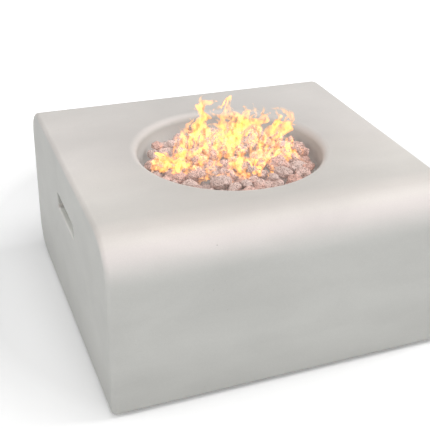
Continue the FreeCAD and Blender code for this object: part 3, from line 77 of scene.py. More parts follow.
camera_data = bpy.data.cameras.new("camera")
camera_data.sensor_width = SENSOR_MM
camera_data.lens = FOCAL_LENGTH * SENSOR_MM / IMAGE_SIDE
camera_data.shift_x = (IMAGE_SIDE / 2 - AXIS_X) / IMAGE_SIDE
camera_data.shift_y = (AXIS_Y - IMAGE_SIDE / 2) / IMAGE_SIDE
camera = bpy.data.objects.new("camera", camera_data)
turn = Euler((math.pi / 2 - PITCH, 0, -YAW)).to_matrix() @ Matrix.Rotation(ROLL, 3, "Z")
camera.matrix_world = Matrix.Translation(EYE) @ turn.to_4x4()
bpy.context.scene.collection.objects.link(camera)
bpy.context.scene.camera = camera
bpy.context.scene.view_settings.view_transform = "Standard"

# ------------------------------------------------------------------------------- floor
# A seamless roll of matt white studio paper, without gloss. It shows white to the camera
# and keeps the fire pit's shadow; near the fire pit it is faintly grey.
FLOOR_SIDE = 14
# the fibres of the pulp lie in clouds this wide
PULP_CLOUD = 0.4
PAPER_TONES = [(0, "#E6E6E6"), (1, "#E7E7E7")]
# The paper glows for the camera only: faintly where the fire pit shades it, soon more
# beside it, and most far off. How far these places are from a point behind the bowl:
SHADE_MIDDLE = (0.15, 0.15, 0)
SHADE_END, BESIDE, FAR = 0.6, 0.77, 3.0
SHADE_GLOW, BESIDE_GLOW, FAR_GLOW = 0.15, 0.43, 0.85


def linear(colour):
    """Linear RGBA of an sRGB hex colour."""
    parts = [int(colour[i:i + 2], 16) / 255 for i in (1, 3, 5)]
    return [p / 12.92 if p <= 0.04045 else ((p + 0.055) / 1.055) ** 2.4 for p in parts] + [1]


def add_node(tree, kind, inputs=None, feeds=None, stops=None, **settings):
    """Add a shader node with its settings and links.

    Inputs are values, or sockets to link from; feeds name outputs and the sockets that
    they go to; stops are the places and sRGB colours of a colour ramp.
    """
    new = tree.nodes.new(kind)
    for name, value in settings.items():
        setattr(new, name, value)
    for name, value in (inputs or {}).items():
        if isinstance(value, bpy.types.NodeSocket):
            tree.links.new(value, new.inputs[name])
        else:
            new.inputs[name].default_value = value
    for name, socket in (feeds or {}).items():
        tree.links.new(new.outputs[name], socket)
    if stops:
        while len(new.color_ramp.elements) < len(stops):
            new.color_ramp.elements.new(0.5)
        for element, (place, colour) in zip(new.color_ramp.elements, stops):
            element.position = place
            element.color = linear(colour)
    return new


def new_surface(name, **sockets):
    """A material with its shader's constant sockets set; gives material, tree, shader."""
    material = bpy.data.materials.new(name)
    material.use_nodes = True
    tree = material.node_tree
    shader = tree.nodes["Principled BSDF"]
    for socket, value in sockets.items():
        shader.inputs[socket.replace("_", " ")].default_value = value
    return material, tree, shader


def new_object(name, mesh, material):
    """Make a bmesh an object of one material."""
    data = bpy.data.meshes.new(name)
    mesh.to_mesh(data)
    mesh.free()
    data.materials.append(material)
    made = bpy.data.objects.new(name, data)
    bpy.context.scene.collection.objects.link(made)
    return made


paper, tree, shader = new_surface("matt_studio_paper", Roughness=1.0,
                                  Specular_IOR_Level=0.0)
place = add_node(tree, "ShaderNodeTexCoord").outputs["Object"]
fibres = add_node(tree, "ShaderNodeTexNoise", {"Vector": place, "Scale": 1 / PULP_CLOUD})
add_node(tree, "ShaderNodeValToRGB", {"Fac": fibres.outputs["Fac"]},
         {"Color": shader.inputs["Base Color"]}, PAPER_TONES)
from_middle = add_node(tree, "ShaderNodeVectorMath", {0: place, 1: SHADE_MIDDLE},
                       operation="SUBTRACT")
away = add_node(tree, "ShaderNodeVectorMath", {0: from_middle.outputs[0]},
                operation="LENGTH")
beside = add_node(tree, "ShaderNodeMapRange", {
    "Value": away.outputs["Value"], "From Min": SHADE_END, "From Max": BESIDE,
    "To Min": SHADE_GLOW, "To Max": BESIDE_GLOW})
beyond = add_node(tree, "ShaderNodeMapRange", {
    "Value": away.outputs["Value"], "From Min": BESIDE, "From Max": FAR,
    "To Max": FAR_GLOW - BESIDE_GLOW})
fading = add_node(tree, "ShaderNodeMath", {0: beside.outputs[0], 1: beyond.outputs[0]})
path = add_node(tree, "ShaderNodeLightPath")
seen = add_node(tree, "ShaderNodeMath", {0: path.outputs["Is Camera Ray"],
                                         1: fading.outputs[0]}, operation="MULTIPLY")
glow = add_node(tree, "ShaderNodeEmission", {"Color": (1, 1, 1, 1),
                                             "Strength": seen.outputs[0]})
add_node(tree, "ShaderNodeAddShader", {0: shader.outputs[0], 1: glow.outputs[0]},
         {0: tree.nodes["Material Output"].inputs["Surface"]})

floor_mesh = bmesh.new()
bmesh.ops.create_grid(floor_mesh, x_segments=1, y_segments=1, size=FLOOR_SIDE / 2)
floor = new_object("floor", floor_mesh, paper)

# ------------------------------------------------------------------------------ lights
# Four soft boxes and a white tent. The strongest box hangs high on the right, so the
# paper left of the fire pit lies in a faint shade, and the rolled edges stay soft.
TENT_LIGHT = 0.3
BOX_AWAY, BOX_SIDE = 4.8, 2.4
BOXES = {
    # name: (direction it hangs in, watts)
    "front_box": ((-0.1, -1.0, 0.7), 61),
    "over_box": ((-0.2, -1.0, 4.7), 65),
    "left_box": ((-1.0, 0.0, 0.36), 56),
    "right_box": ((1.0, -0.08, 0.85), 126),
}
# they all face this point
AIM = Vector((0, 0, 0.2))

for name, (direction, watts) in BOXES.items():
    box_data = bpy.data.lights.new(name, "AREA")
    box_data.shape = "SQUARE"
    box_data.size = BOX_SIDE
    box_data.energy = watts
    soft_box = bpy.data.objects.new(name, box_data)
    towards = Vector(direction).normalized()
    soft_box.location = AIM + towards * BOX_AWAY
    soft_box.rotation_euler = towards.to_track_quat("Z", "Y").to_euler()
    bpy.context.scene.collection.objects.link(soft_box)

# the tent is white where the camera or a glossy piece sees it, and lights dimly
world = bpy.data.worlds.new("white_tent")
world.use_nodes = True
tree = world.node_tree
backdrop = tree.nodes["Background"]
backdrop.inputs["Color"].default_value = (1, 1, 1, 1)
path = add_node(tree, "ShaderNodeLightPath")
shown = add_node(tree, "ShaderNodeMath", {0: path.outputs["Is Camera Ray"],
                                          1: path.outputs["Is Glossy Ray"]},
                 operation="MAXIMUM")
add_node(tree, "ShaderNodeMapRange", {"Value": shown.outputs[0], "To Min": TENT_LIGHT,
                                      "To Max": 1.0},
         {"Result": backdrop.inputs["Strength"]})
bpy.context.scene.world = world

# ----------------------------------------------------------------------- cast concrete
# The body is one casting of glass-fibre concrete, poured face down in a smooth mould
# and sealed: pale warm grey, with soft clouds, fine sand and a few small air pores.
MM = 0.001
# the walls' grey, and the darker grey painted at their foot as shade, fading out over this
# height
SIDE_GREY, FOOT_SHADE_GREY = "#C6C6C2", "#B9B9B5"
FOOT_HIGH = 110 * MM
# how far a face points upwards where the walls' grey starts to fade into the deck's, and
# where the deck's is full
WALL_TILT, DECK_TILT = 0.1, 0.6
# the deck from the front edge to the back one: place as a share of the depth, and colour,
# with a painted highlight on the roll of the front edge and painted shade just behind it
DECK_GREYS_AND_HIGHLIGHT = [(0.0, "#C6C2BF"), (0.018, "#CBC5C2"), (0.038, "#CEC7C4"),
              (0.056, "#CDC7C2"), (0.086, "#C2BCB7"), (0.14, "#BDB9B4"),
              (0.23, "#C3BFBA"), (0.38, "#C7C2BD"), (0.5, "#C6C1BD"), (1.0, "#BDB9B5")]
# painted shade round the bowl and painted light towards the deck's corners: brightness at and
# beyond these radii
BOWL_Y = -15 * MM
RIM_SHADE_RADIUS, CORNER_LIGHT_RADIUS = 180 * MM, 300 * MM
RIM_SHADE_TONE, CORNER_LIGHT_TONE = 0.95, 1.11
# a painted highlight on the rolled lip: its brightness, and where it starts and ends
LIP_HIGHLIGHT_TONE, LIP_FROM, LIP_TO = 1.14, 168 * MM, 179 * MM
# painted light on the bowl's wall, against the shade that falls in the bowl, up to this
# radius, and more so lower down: it is wholly pale at the low height and plain grey from the
# high one
BOWL_REACH, BOWL_LIGHT_GREY = 200 * MM, "#EFECE8"
BOWL_LIGHT_LOW, BOWL_LIGHT_HIGH = 245 * MM, 297 * MM
# the darker grey painted into the air pores as shade
PORE_SHADE_GREY = "#ACA9A4"
# the part of a hand-hold painted pale, as light against the shade in it: its middle and half
# its size, the left one mirrored
HOLD_MIDDLE = (283 * MM, -6 * MM, 210 * MM)
HOLD_HALF = (14.4 * MM, 66 * MM, 17 * MM)
HOLD_LIGHT_GREY, HOLD_EDGE = "#E0E0DC", 0.9
# how much darker and brighter the clouds and the sand make it
DARKER, BRIGHTER = 0.95, 1.05
# air pores about 1.5 mm across: their spacing, and as shares of it their floor and rim
PORE_SPACING, PORE_FLOOR, PORE_RIM = 35, 0.012, 0.032


def per(millimetres):
    """Pattern scale that repeats about once in so many millimetres."""
    return 1 / (millimetres * MM)


def dress(material, *names):
    """Give CAD nodes their material."""
    for name in names:
        nodes[name].data.materials.clear()
        nodes[name].data.materials.append(material)


concrete, tree, shader = new_surface("cast_glass_fibre_concrete", IOR=1.45)
place = add_node(tree, "ShaderNodeTexCoord").outputs["Object"]
spot = add_node(tree, "ShaderNodeSeparateXYZ", {0: place})
# painted shade darkens the foot of the walls a little, near the floor
low, high = cad_box
painted_foot_shade = add_node(tree, "ShaderNodeMapRange", {"Value": spot.outputs["Z"], "From Min": low[2],
                                             "From Max": low[2] + FOOT_HIGH})
wall = add_node(tree, "ShaderNodeMix", {0: painted_foot_shade.outputs[0], 6: linear(FOOT_SHADE_GREY),
                                        7: linear(SIDE_GREY)}, data_type="RGBA")
# the deck, cast face down, is warmer than the walls; the roll of its front edge is painted
# paler as a highlight, and just behind it the deck is painted darker as shade
facing = add_node(tree, "ShaderNodeSeparateXYZ", {
    0: add_node(tree, "ShaderNodeNewGeometry").outputs["Normal"]})
upward = add_node(tree, "ShaderNodeMapRange", {
    "Value": facing.outputs["Z"], "From Min": WALL_TILT, "From Max": DECK_TILT})
from_front = add_node(tree, "ShaderNodeMapRange", {
    "Value": spot.outputs["Y"], "From Min": low[1], "From Max": high[1]})
deck_greys_and_highlight = add_node(tree, "ShaderNodeValToRGB", {"Fac": from_front.outputs[0]},
                 stops=DECK_GREYS_AND_HIGHLIGHT)
from_bowl = add_node(tree, "ShaderNodeMapping", {
    "Vector": place, "Location": (0, -BOWL_Y, 0), "Scale": (1, 1, 0)})
radius = add_node(tree, "ShaderNodeVectorMath", {0: from_bowl.outputs[0]},
                  operation="LENGTH")
# painted shade darkens the deck round the bowl, and painted light brightens it towards the
# corners
painted_rim_shade = add_node(tree, "ShaderNodeMapRange", {
    "Value": radius.outputs["Value"], "From Min": RIM_SHADE_RADIUS, "From Max": CORNER_LIGHT_RADIUS,
    "To Min": RIM_SHADE_TONE, "To Max": CORNER_LIGHT_TONE})
# painted highlight along the bowl's lip
lip = add_node(tree, "ShaderNodeMapRange", {
    "Value": radius.outputs["Value"], "From Min": LIP_FROM, "From Max": LIP_TO,
    "To Min": LIP_HIGHLIGHT_TONE, "To Max": 1.0})
ringed = add_node(tree, "ShaderNodeMath", {0: painted_rim_shade.outputs[0], 1: lip.outputs[0]},
                  operation="MULTIPLY")
deck = add_node(tree, "ShaderNodeVectorMath", {0: deck_greys_and_highlight.outputs["Color"],
                                               "Scale": ringed.outputs[0]},
                operation="SCALE")
# painted light: the bowl's wall is painted paler towards its foot, against the shade in the
# bowl
in_bowl = add_node(tree, "ShaderNodeMath", {0: radius.outputs["Value"], 1: BOWL_REACH},
                   operation="LESS_THAN")
bowl_light_by_height = add_node(tree, "ShaderNodeMapRange", {
    "Value": spot.outputs["Z"], "From Min": BOWL_LIGHT_LOW, "From Max": BOWL_LIGHT_HIGH,
    "To Min": 1.0, "To Max": 0.0})
paler = add_node(tree, "ShaderNodeMath", {0: in_bowl.outputs[0], 1: bowl_light_by_height.outputs[0]},
                 operation="MULTIPLY")
walls = add_node(tree, "ShaderNodeMix", {0: paler.outputs[0], 6: wall.outputs[2],
                                         7: linear(BOWL_LIGHT_GREY)}, data_type="RGBA")
outside = add_node(tree, "ShaderNodeMix", {0: upward.outputs[0], 6: walls.outputs[2],
                                           7: deck.outputs[0]}, data_type="RGBA")
# painted light: the insides of the hand-holds are painted paler against the shade that falls
# in them
folded = add_node(tree, "ShaderNodeVectorMath", {0: place}, operation="ABSOLUTE")
one_side = add_node(tree, "ShaderNodeSeparateXYZ", {0: folded.outputs[0]})
mirrored = add_node(tree, "ShaderNodeCombineXYZ", {
    "X": one_side.outputs["X"], "Y": spot.outputs["Y"], "Z": spot.outputs["Z"]})
inside = add_node(tree, "ShaderNodeMapping", {
    "Vector": mirrored.outputs[0], "Location": HOLD_MIDDLE, "Scale": HOLD_HALF},
    vector_type="TEXTURE")
off = add_node(tree, "ShaderNodeVectorMath", {0: inside.outputs[0]}, operation="ABSOLUTE")
offs = add_node(tree, "ShaderNodeSeparateXYZ", {0: off.outputs[0]})
wider = add_node(tree, "ShaderNodeMath", {0: offs.outputs["X"], 1: offs.outputs["Y"]},
                 operation="MAXIMUM")
widest = add_node(tree, "ShaderNodeMath", {0: wider.outputs[0], 1: offs.outputs["Z"]},
                  operation="MAXIMUM")
painted_hold_light = add_node(tree, "ShaderNodeMapRange", {
    "Value": widest.outputs[0], "From Min": HOLD_EDGE, "From Max": 1.0,
    "To Min": 1.0, "To Max": 0.0})
body_grey = add_node(tree, "ShaderNodeMix", {0: painted_hold_light.outputs[0], 6: outside.outputs[2],
                                             7: linear(HOLD_LIGHT_GREY)}, data_type="RGBA")
# clouds some 110 mm across, flattened by the way the slurry ran in the mould
run = add_node(tree, "ShaderNodeMapping", {"Vector": place, "Scale": (0.6, 1.0, 1.5)})
clouds = add_node(tree, "ShaderNodeTexNoise", {
    "Vector": run.outputs[0], "Scale": per(110), "Detail": 5.0, "Roughness": 0.55,
    "Distortion": 0.4})
cloud = add_node(tree, "ShaderNodeMapRange", {
    "Value": clouds.outputs["Fac"], "From Min": 0.3, "From Max": 0.7,
    "To Min": DARKER, "To Max": BRIGHTER})
# sand grains of 0.6 mm are drawn at 2 mm, the finest that still shows
sand = add_node(tree, "ShaderNodeTexNoise", {"Vector": place, "Scale": per(2),
                                             "Detail": 3.0})
grain = add_node(tree, "ShaderNodeMapRange", {"Value": sand.outputs["Fac"],
                                              "To Min": DARKER, "To Max": BRIGHTER})
tone = add_node(tree, "ShaderNodeMath", {0: cloud.outputs[0], 1: grain.outputs[0]},
                operation="MULTIPLY")
mottled = add_node(tree, "ShaderNodeVectorMath", {0: body_grey.outputs[2],
                                                  "Scale": tone.outputs[0]},
                   operation="SCALE")
pores = add_node(tree, "ShaderNodeTexVoronoi", {"Vector": place,
                                                "Scale": per(PORE_SPACING)})
pore = add_node(tree, "ShaderNodeMapRange", {
    "Value": pores.outputs["Distance"], "From Min": PORE_FLOOR, "From Max": PORE_RIM,
    "To Min": 1.0, "To Max": 0.0})
# painted shade darkens the insides of the pores
add_node(tree, "ShaderNodeMix", {0: pore.outputs[0], 6: mottled.outputs[0],
                                 7: linear(PORE_SHADE_GREY)},
         {2: shader.inputs["Base Color"]}, data_type="RGBA")
add_node(tree, "ShaderNodeMapRange", {"Value": clouds.outputs["Fac"], "To Min": 0.42,
                                      "To Max": 0.55},
         {"Result": shader.inputs["Roughness"]})
# the mould leaves the skin flat; only grains and pores break it
grit = add_node(tree, "ShaderNodeBump", {"Height": sand.outputs["Fac"],
                                         "Distance": 0.08 * MM})
add_node(tree, "ShaderNodeBump", {"Height": pore.outputs[0], "Distance": 0.5 * MM,
                                  "Normal": grit.outputs["Normal"]},
         {"Normal": shader.inputs["Normal"]}, invert=True)
dress(concrete, "stone_body")


# ------------------------------------------------------------------------- rubber feet
# Four moulded rubber feet and the seal under the igniter cap. The compound is dull
# black with a fine spark-eroded grain and a greyish bloom.
def clouded_surface(name, clouds, tones, roughness=None, **sockets):
    """A material whose colour, and roughness if two are given, drift in soft clouds.

    Gives material, tree and shader, the object coordinates, and the clouds.
    """
    material, tree, shader = new_surface(name, **sockets)
    place = add_node(tree, "ShaderNodeTexCoord").outputs["Object"]
    cloud = add_node(tree, "ShaderNodeTexNoise", {"Vector": place, **clouds}).outputs["Fac"]
    add_node(tree, "ShaderNodeValToRGB", {"Fac": cloud},
             {"Color": shader.inputs["Base Color"]}, tones)
    if roughness:
        add_node(tree, "ShaderNodeMapRange", {"Value": cloud, "To Min": roughness[0],
                                              "To Max": roughness[1]},
                 {"Result": shader.inputs["Roughness"]})
    return material, tree, shader, place, cloud


rubber, tree, shader, place, _ = clouded_surface(
    "moulded_rubber", {"Scale": per(8), "Detail": 4.0},
    [(0.35, "#232323"), (0.75, "#343433")], IOR=1.5, Roughness=0.8)
# a 0.2 mm grain, drawn at 0.8 mm
skin = add_node(tree, "ShaderNodeTexNoise", {"Vector": place, "Scale": per(0.8)})
add_node(tree, "ShaderNodeBump", {"Height": skin.outputs["Fac"], "Distance": 0.05 * MM},
         {"Normal": shader.inputs["Normal"]})
dress(rubber, "rubber_feet", "cap_seal")

# ----------------------------------------------------------------- zinc-plated fixings
# Screws, nut, heat shield and bracket are steel with a bright zinc coat: silvery, with
# the faint blue and straw clouds of the passivation bath.
zinc, tree, shader, place, _ = clouded_surface(
    "zinc_plated_steel", {"Scale": per(12), "Detail": 3.0},
    [(0.3, "#B9BEC6"), (0.5, "#C6C7C6"), (0.72, "#CBC3A8")], (0.25, 0.45), Metallic=1.0)
# the coat's crystals of 0.1 mm, drawn at 1.5 mm
crystals = add_node(tree, "ShaderNodeTexVoronoi", {"Vector": place, "Scale": per(1.5)})
add_node(tree, "ShaderNodeBump", {"Height": crystals.outputs["Distance"],
                                  "Distance": 0.02 * MM},
         {"Normal": shader.inputs["Normal"]})
dress(zinc, "foot_screws", "burner_nut", "heat_shield", "probe_bracket",
      "panel_screws", "valve_screws", "spring_seat")

# ---------------------------------------------------------------------- brass fittings
# Turned brass: threaded inserts, jet, nuts, spindle and gas inlet. Fine tool marks lie
# across the pieces, and the metal has a thin brown tarnish in places.
brass, tree, shader, place, _ = clouded_surface(
    "turned_brass", {"Scale": per(9), "Detail": 5.0, "Roughness": 0.6},
    [(0.35, "#D8B25E"), (0.6, "#C79C49"), (0.8, "#96713A")], (0.2, 0.45), Metallic=1.0)
# tool marks 0.15 mm apart, drawn coarser
lathe = add_node(tree, "ShaderNodeTexWave", {"Vector": place, "Scale": per(4),
                                             "Distortion": 1.5}, bands_direction="Y")
add_node(tree, "ShaderNodeBump", {"Height": lathe.outputs["Fac"],
                                  "Distance": 0.015 * MM},
         {"Normal": shader.inputs["Normal"]})
dress(brass, "foot_inserts", "ledge_inserts", "gas_jet", "inlet_tube_nut",
      "valve_inlet_nut", "valve_outlet_nut", "jet_nut", "valve_spindle",
      "gas_inlet_fitting", "inlet_nut")


# --------------------------------------------------------------- stainless steel sheet
# Pan, ring burner, guard and control panel are pressed from brushed stainless sheet.
# Over the flames the ring and pan take straw, brown and blue heat tints.
def brushed_steel(name, stretch, tints):
    """Brushed stainless steel, with its tints in soft patches and its brush lines along X."""
    material, tree, shader, place, _ = clouded_surface(
        name, {"Scale": per(45), "Detail": 3.0, "Distortion": 0.6}, tints, Metallic=1.0)
    stretched = add_node(tree, "ShaderNodeMapping", {"Vector": place,
                                                     "Scale": (stretch, 1.0, 1.0)})
    # brush lines 0.1 mm apart are drawn 0.7 mm apart
    lines = add_node(tree, "ShaderNodeTexNoise", {
        "Vector": stretched.outputs[0], "Scale": per(0.7), "Detail": 4.0})
    add_node(tree, "ShaderNodeMapRange", {"Value": lines.outputs["Fac"], "To Min": 0.22,
                                          "To Max": 0.46},
             {"Result": shader.inputs["Roughness"]})
    add_node(tree, "ShaderNodeBump", {"Height": lines.outputs["Fac"],
                                      "Distance": 0.02 * MM},
             {"Normal": shader.inputs["Normal"]})
    return material


cold_steel = brushed_steel("brushed_stainless_steel", 0.04,
                           [(0.3, "#BDBCB9"), (0.7, "#CFCECB")])
dress(cold_steel, "control_panel")
hot_steel = brushed_steel("heat_tinted_stainless_steel", 0.1,
                          [(0.28, "#8E93A3"), (0.42, "#C9C6C0"), (0.55, "#D2CFC8"),
                           (0.7, "#C4A878"), (0.82, "#8F6F58")])
dress(hot_steel, "burner_pan", "pan_screws", "burner_ring", "electrode_wire",
      "flame_sensor", "probe_guard")

# ------------------------------------------------------------------------ die castings
# The gas valve and the air mixer are die-cast zinc-aluminium alloy, tumbled and left
# bare: a soft grey satin with a slightly pebbled skin.
casting, tree, shader, place, _ = clouded_surface(
    "die_cast_alloy", {"Scale": per(14), "Detail": 5.0},
    [(0.3, "#9B9DA0"), (0.7, "#B4B5B6")], (0.42, 0.62), Metallic=1.0)
# the tumbled skin's pebbles, 0.5 mm across and drawn at 1.2 mm
pebbles = add_node(tree, "ShaderNodeTexNoise", {"Vector": place, "Scale": per(1.2),
                                                "Detail": 2.0})
add_node(tree, "ShaderNodeBump", {"Height": pebbles.outputs["Fac"],
                                  "Distance": 0.08 * MM},
         {"Normal": shader.inputs["Normal"]})
dress(casting, "air_mixer", "gas_valve")

# ---------------------------------------------------------------------------- gas tube
# Drawn aluminium tube, bent cold: light silver with faint draw streaks and a dull
# oxide film.
tube_metal, tree, shader, place, _ = clouded_surface(
    "drawn_aluminium", {"Scale": per(18), "Detail": 4.0},
    [(0.3, "#BFC2C4"), (0.7, "#D4D6D7")], (0.28, 0.42), Metallic=1.0)
# draw streaks 0.1 mm apart, drawn 0.9 mm apart and long
streaks = add_node(tree, "ShaderNodeMapping", {"Vector": place, "Scale": (1, 0.08, 1)})
drawn = add_node(tree, "ShaderNodeTexNoise", {"Vector": streaks.outputs[0],
                                              "Scale": per(0.9)})
add_node(tree, "ShaderNodeBump", {"Height": drawn.outputs["Fac"], "Distance": 0.02 * MM},
         {"Normal": shader.inputs["Normal"]})
dress(tube_metal, "inlet_tube", "feed_tube")

# --------------------------------------------------------------------- spark electrode
# The electrode's insulator is a glazed alumina tube, off-white and glossy, with brown
# smoke stains towards the flame, over the upper part of its height.
STAINED_FROM = 0.6

ceramic, tree, shader = new_surface("glazed_alumina", Roughness=0.18, IOR=1.6,
                                    Coat_Weight=0.5)
place = add_node(tree, "ShaderNodeTexCoord").outputs["Object"]
spot = add_node(tree, "ShaderNodeSeparateXYZ", {0: place})
smoke = add_node(tree, "ShaderNodeTexNoise", {"Vector": place, "Scale": per(5),
                                              "Detail": 4.0})
low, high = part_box("electrode_ceramic")
stained = add_node(tree, "ShaderNodeMapRange", {
    "Value": spot.outputs["Z"], "From Min": low.z + STAINED_FROM * (high.z - low.z),
    "From Max": high.z})
patchy = add_node(tree, "ShaderNodeMath", {0: stained.outputs[0],
                                           1: smoke.outputs["Fac"]},
                  operation="MULTIPLY")
add_node(tree, "ShaderNodeValToRGB", {"Fac": patchy.outputs[0]},
         {"Color": shader.inputs["Base Color"]}, [(0.1, "#EEEBE2"), (0.7, "#A9947C")])
add_node(tree, "ShaderNodeBump", {"Height": smoke.outputs["Fac"], "Distance": 0.04 * MM},
         {"Normal": shader.inputs["Normal"]})
dress(ceramic, "electrode_ceramic")

# ----------------------------------------------------------------------- igniter leads
# The spark lead has a red-brown silicone jacket with a powdery surface; the flame
# sensor's lead is a bare drawn copper capillary.
silicone, tree, shader, _, powder = clouded_surface(
    "silicone_rubber", {"Scale": per(3), "Detail": 4.0},
    [(0.3, "#7F2A1F"), (0.7, "#97392B")], Roughness=0.55)
add_node(tree, "ShaderNodeBump", {"Height": powder, "Distance": 0.05 * MM},
         {"Normal": shader.inputs["Normal"]})
dress(silicone, "spark_lead")

copper, tree, shader, _, tarnish = clouded_surface(
    "drawn_copper", {"Scale": per(7), "Detail": 4.0},
    [(0.35, "#C98563"), (0.75, "#8A5640")], (0.25, 0.5), Metallic=1.0)
add_node(tree, "ShaderNodeBump", {"Height": tarnish, "Distance": 0.02 * MM},
         {"Normal": shader.inputs["Normal"]})
dress(copper, "sensor_lead")

# ----------------------------------------------------------------------------- springs
# Wound from hard-drawn spring steel: darker than plate steel, with wire-drawing marks.
# The return springs of knob and button are welded into smooth coils.
# spring: its joint, the place of its fixed end along Y, and the joint's travel
PRESSED = {"knob_spring": ("knob_push", 241.5 * MM, 3 * MM),
           "button_spring": ("igniter_press", 262.5 * MM, 2.5 * MM)}
# corners of a mesh that are nearer than this are made one
WELD = 0.001 * MM


def add_piece(name, mesh, body, material, smooth=False):
    """Make a bmesh a finished piece with its body and material."""
    if smooth:
        for face in mesh.faces:
            face.smooth = True
    piece = new_object(name, mesh, material)
    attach(piece, body)
    return piece


wire, tree, shader, place, _ = clouded_surface(
    "spring_steel", {"Scale": per(4), "Detail": 3.0},
    [(0.3, "#8C8E92"), (0.7, "#A9A9A8")], (0.22, 0.38), Metallic=1.0)
# die marks of 0.05 mm, drawn at 0.6 mm
marks = add_node(tree, "ShaderNodeTexNoise", {"Vector": place, "Scale": per(0.6)})
add_node(tree, "ShaderNodeBump", {"Height": marks.outputs["Fac"], "Distance": 0.01 * MM},
         {"Normal": shader.inputs["Normal"]})
dress(wire, "knob_spring", "button_spring", "battery_spring")

for name, (joint, fixed_end, travel) in PRESSED.items():
    coils = bmesh.new()
    coils.from_mesh(nodes[name].data)
    bmesh.ops.remove_doubles(coils, verts=coils.verts, dist=WELD)
    piece = add_piece(f"{name}_coils", coils, "fire_pit", wire, smooth=True)
    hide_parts(name)
    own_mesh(piece)


# ----------------------------------------------------------- knob and igniter plastics
# The knob is moulded phenolic resin and the igniter glass-filled nylon, both black;
# the button is glossy red ABS, and the dry cell has a steel jacket printed plain grey.
def moulded_plastic(name, dark, pale, roughness, grain_deep):
    """A moulded plastic with the fine spark-eroded grain of its tool, so many mm deep."""
    material, tree, shader, place, _ = clouded_surface(
        name, {"Scale": per(10), "Detail": 3.0}, [(0.3, dark), (0.7, pale)],
        (roughness - 0.07, roughness + 0.07), IOR=1.5)
    # a 0.2 mm tool grain, drawn at 0.9 mm
    skin = add_node(tree, "ShaderNodeTexNoise", {"Vector": place, "Scale": per(0.9)})
    add_node(tree, "ShaderNodeBump", {"Height": skin.outputs["Fac"],
                                      "Distance": grain_deep * MM},
             {"Normal": shader.inputs["Normal"]})
    return material


dress(moulded_plastic("phenolic_resin", "#1B1B1C", "#252526", 0.42, 0.03),
      "control_knob")
dress(moulded_plastic("glass_filled_nylon", "#1A1A1B", "#272728", 0.55, 0.05),
      "igniter_housing", "igniter_nut", "igniter_cap")
dress(moulded_plastic("glossy_red_abs", "#A51D17", "#B8261D", 0.2, 0.005),
      "igniter_button")

# bare steel at both ends of the cell, and a paler grey towards its cap end
CELL_BANDS = [(0.0, "#A9A9A9"), (0.05, "#5F6368"), (0.66, "#83878B"), (0.93, "#A9A9A9")]

jacket, tree, shader = new_surface("printed_cell_jacket", Roughness=0.25,
                                   Coat_Weight=0.4)
place = add_node(tree, "ShaderNodeTexCoord").outputs["Object"]
spot = add_node(tree, "ShaderNodeSeparateXYZ", {0: place})
low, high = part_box("battery")
share = add_node(tree, "ShaderNodeMapRange", {"Value": spot.outputs["Y"],
                                              "From Min": low.y, "From Max": high.y})
bands = add_node(tree, "ShaderNodeValToRGB", {"Fac": share.outputs[0]},
                 {"Color": shader.inputs["Base Color"]}, CELL_BANDS)
bands.color_ramp.interpolation = "CONSTANT"
scuffs = add_node(tree, "ShaderNodeTexNoise", {"Vector": place, "Scale": per(5)})
add_node(tree, "ShaderNodeBump", {"Height": scuffs.outputs["Fac"], "Distance": 0.02 * MM},
         {"Normal": shader.inputs["Normal"]})
dress(jacket, "battery")

# --------------------------------------------------------------------- panel printing
# The knob's dial is screen-printed on the panel in black ink: a tick and a numeral at
# 0, 1 and 2, and a wedge that widens with the flame. The knob has a filled white line.
PANEL_FACE, DIAL_X, DIAL_Z = 257 * MM, 8 * MM, 140 * MM
INK = 0.12 * MM
WEDGE_RADIUS, WEDGE_THIN, WEDGE_WIDE = 29 * MM, 0.5 * MM, 3.2 * MM
WEDGE_FROM, WEDGE_SWEEP, WEDGE_STEPS = math.radians(24), math.radians(142), 40
TICK_RADIUS, TICK_LONG, TICK_WIDE = 31.5 * MM, 4.5 * MM, 1.0 * MM
NUMERAL_RADIUS, NUMERAL_HIGH = 38.5 * MM, 7 * MM
# dial angles in degrees, from the top towards +X, with what stands beside them
DIAL_STOPS = {0: "0", 90: "1", 180: "2"}
LINE_LONG, LINE_WIDE, LINE_DEEP = 9 * MM, 1.4 * MM, 0.3 * MM
# how far the line's middle lies from the knob's edge, as a share of its length
LINE_INSET = 0.85
# how far a bar's corners are rounded, as a share of its width
BAR_ROUND = 0.4


def on_dial(radius, degrees):
    """Place that puts a flat XY shape on the dial, its top pointing outwards."""
    upright = Matrix.Rotation(math.pi, 4, "Z") @ Matrix.Rotation(math.pi / 2, 4, "X")
    swing = Matrix.Rotation(math.radians(degrees), 4, "Y")
    return (Matrix.Translation((DIAL_X, PANEL_FACE, DIAL_Z)) @ swing
            @ Matrix.Translation((0, 0, radius)) @ upright)


def add_bar(mesh, long, wide, high, place):
    """A slim printed bar with rounded corners, standing on its own XY plane."""
    made = bmesh.ops.create_cube(mesh, size=1.0, matrix=Matrix.Translation(
        (0, 0, high / 2)) @ Matrix.Diagonal((wide, long, high, 1)))
    sides = {edge for vert in made["verts"] for edge in vert.link_edges}
    corners = [edge for edge in mesh.edges if edge in sides
               and abs(edge.verts[0].co.z - edge.verts[1].co.z) > high / 2]
    rounded = bmesh.ops.bevel(mesh, geom=corners, offset=wide * BAR_ROUND, segments=3,
                              profile=0.5, material=-1, affect="EDGES")
    whole = {v for f in rounded["faces"] for v in f.verts} | set(
        v for v in made["verts"] if v.is_valid)
    bmesh.ops.transform(mesh, matrix=place, verts=list(whole))


ink_mesh = bmesh.new()
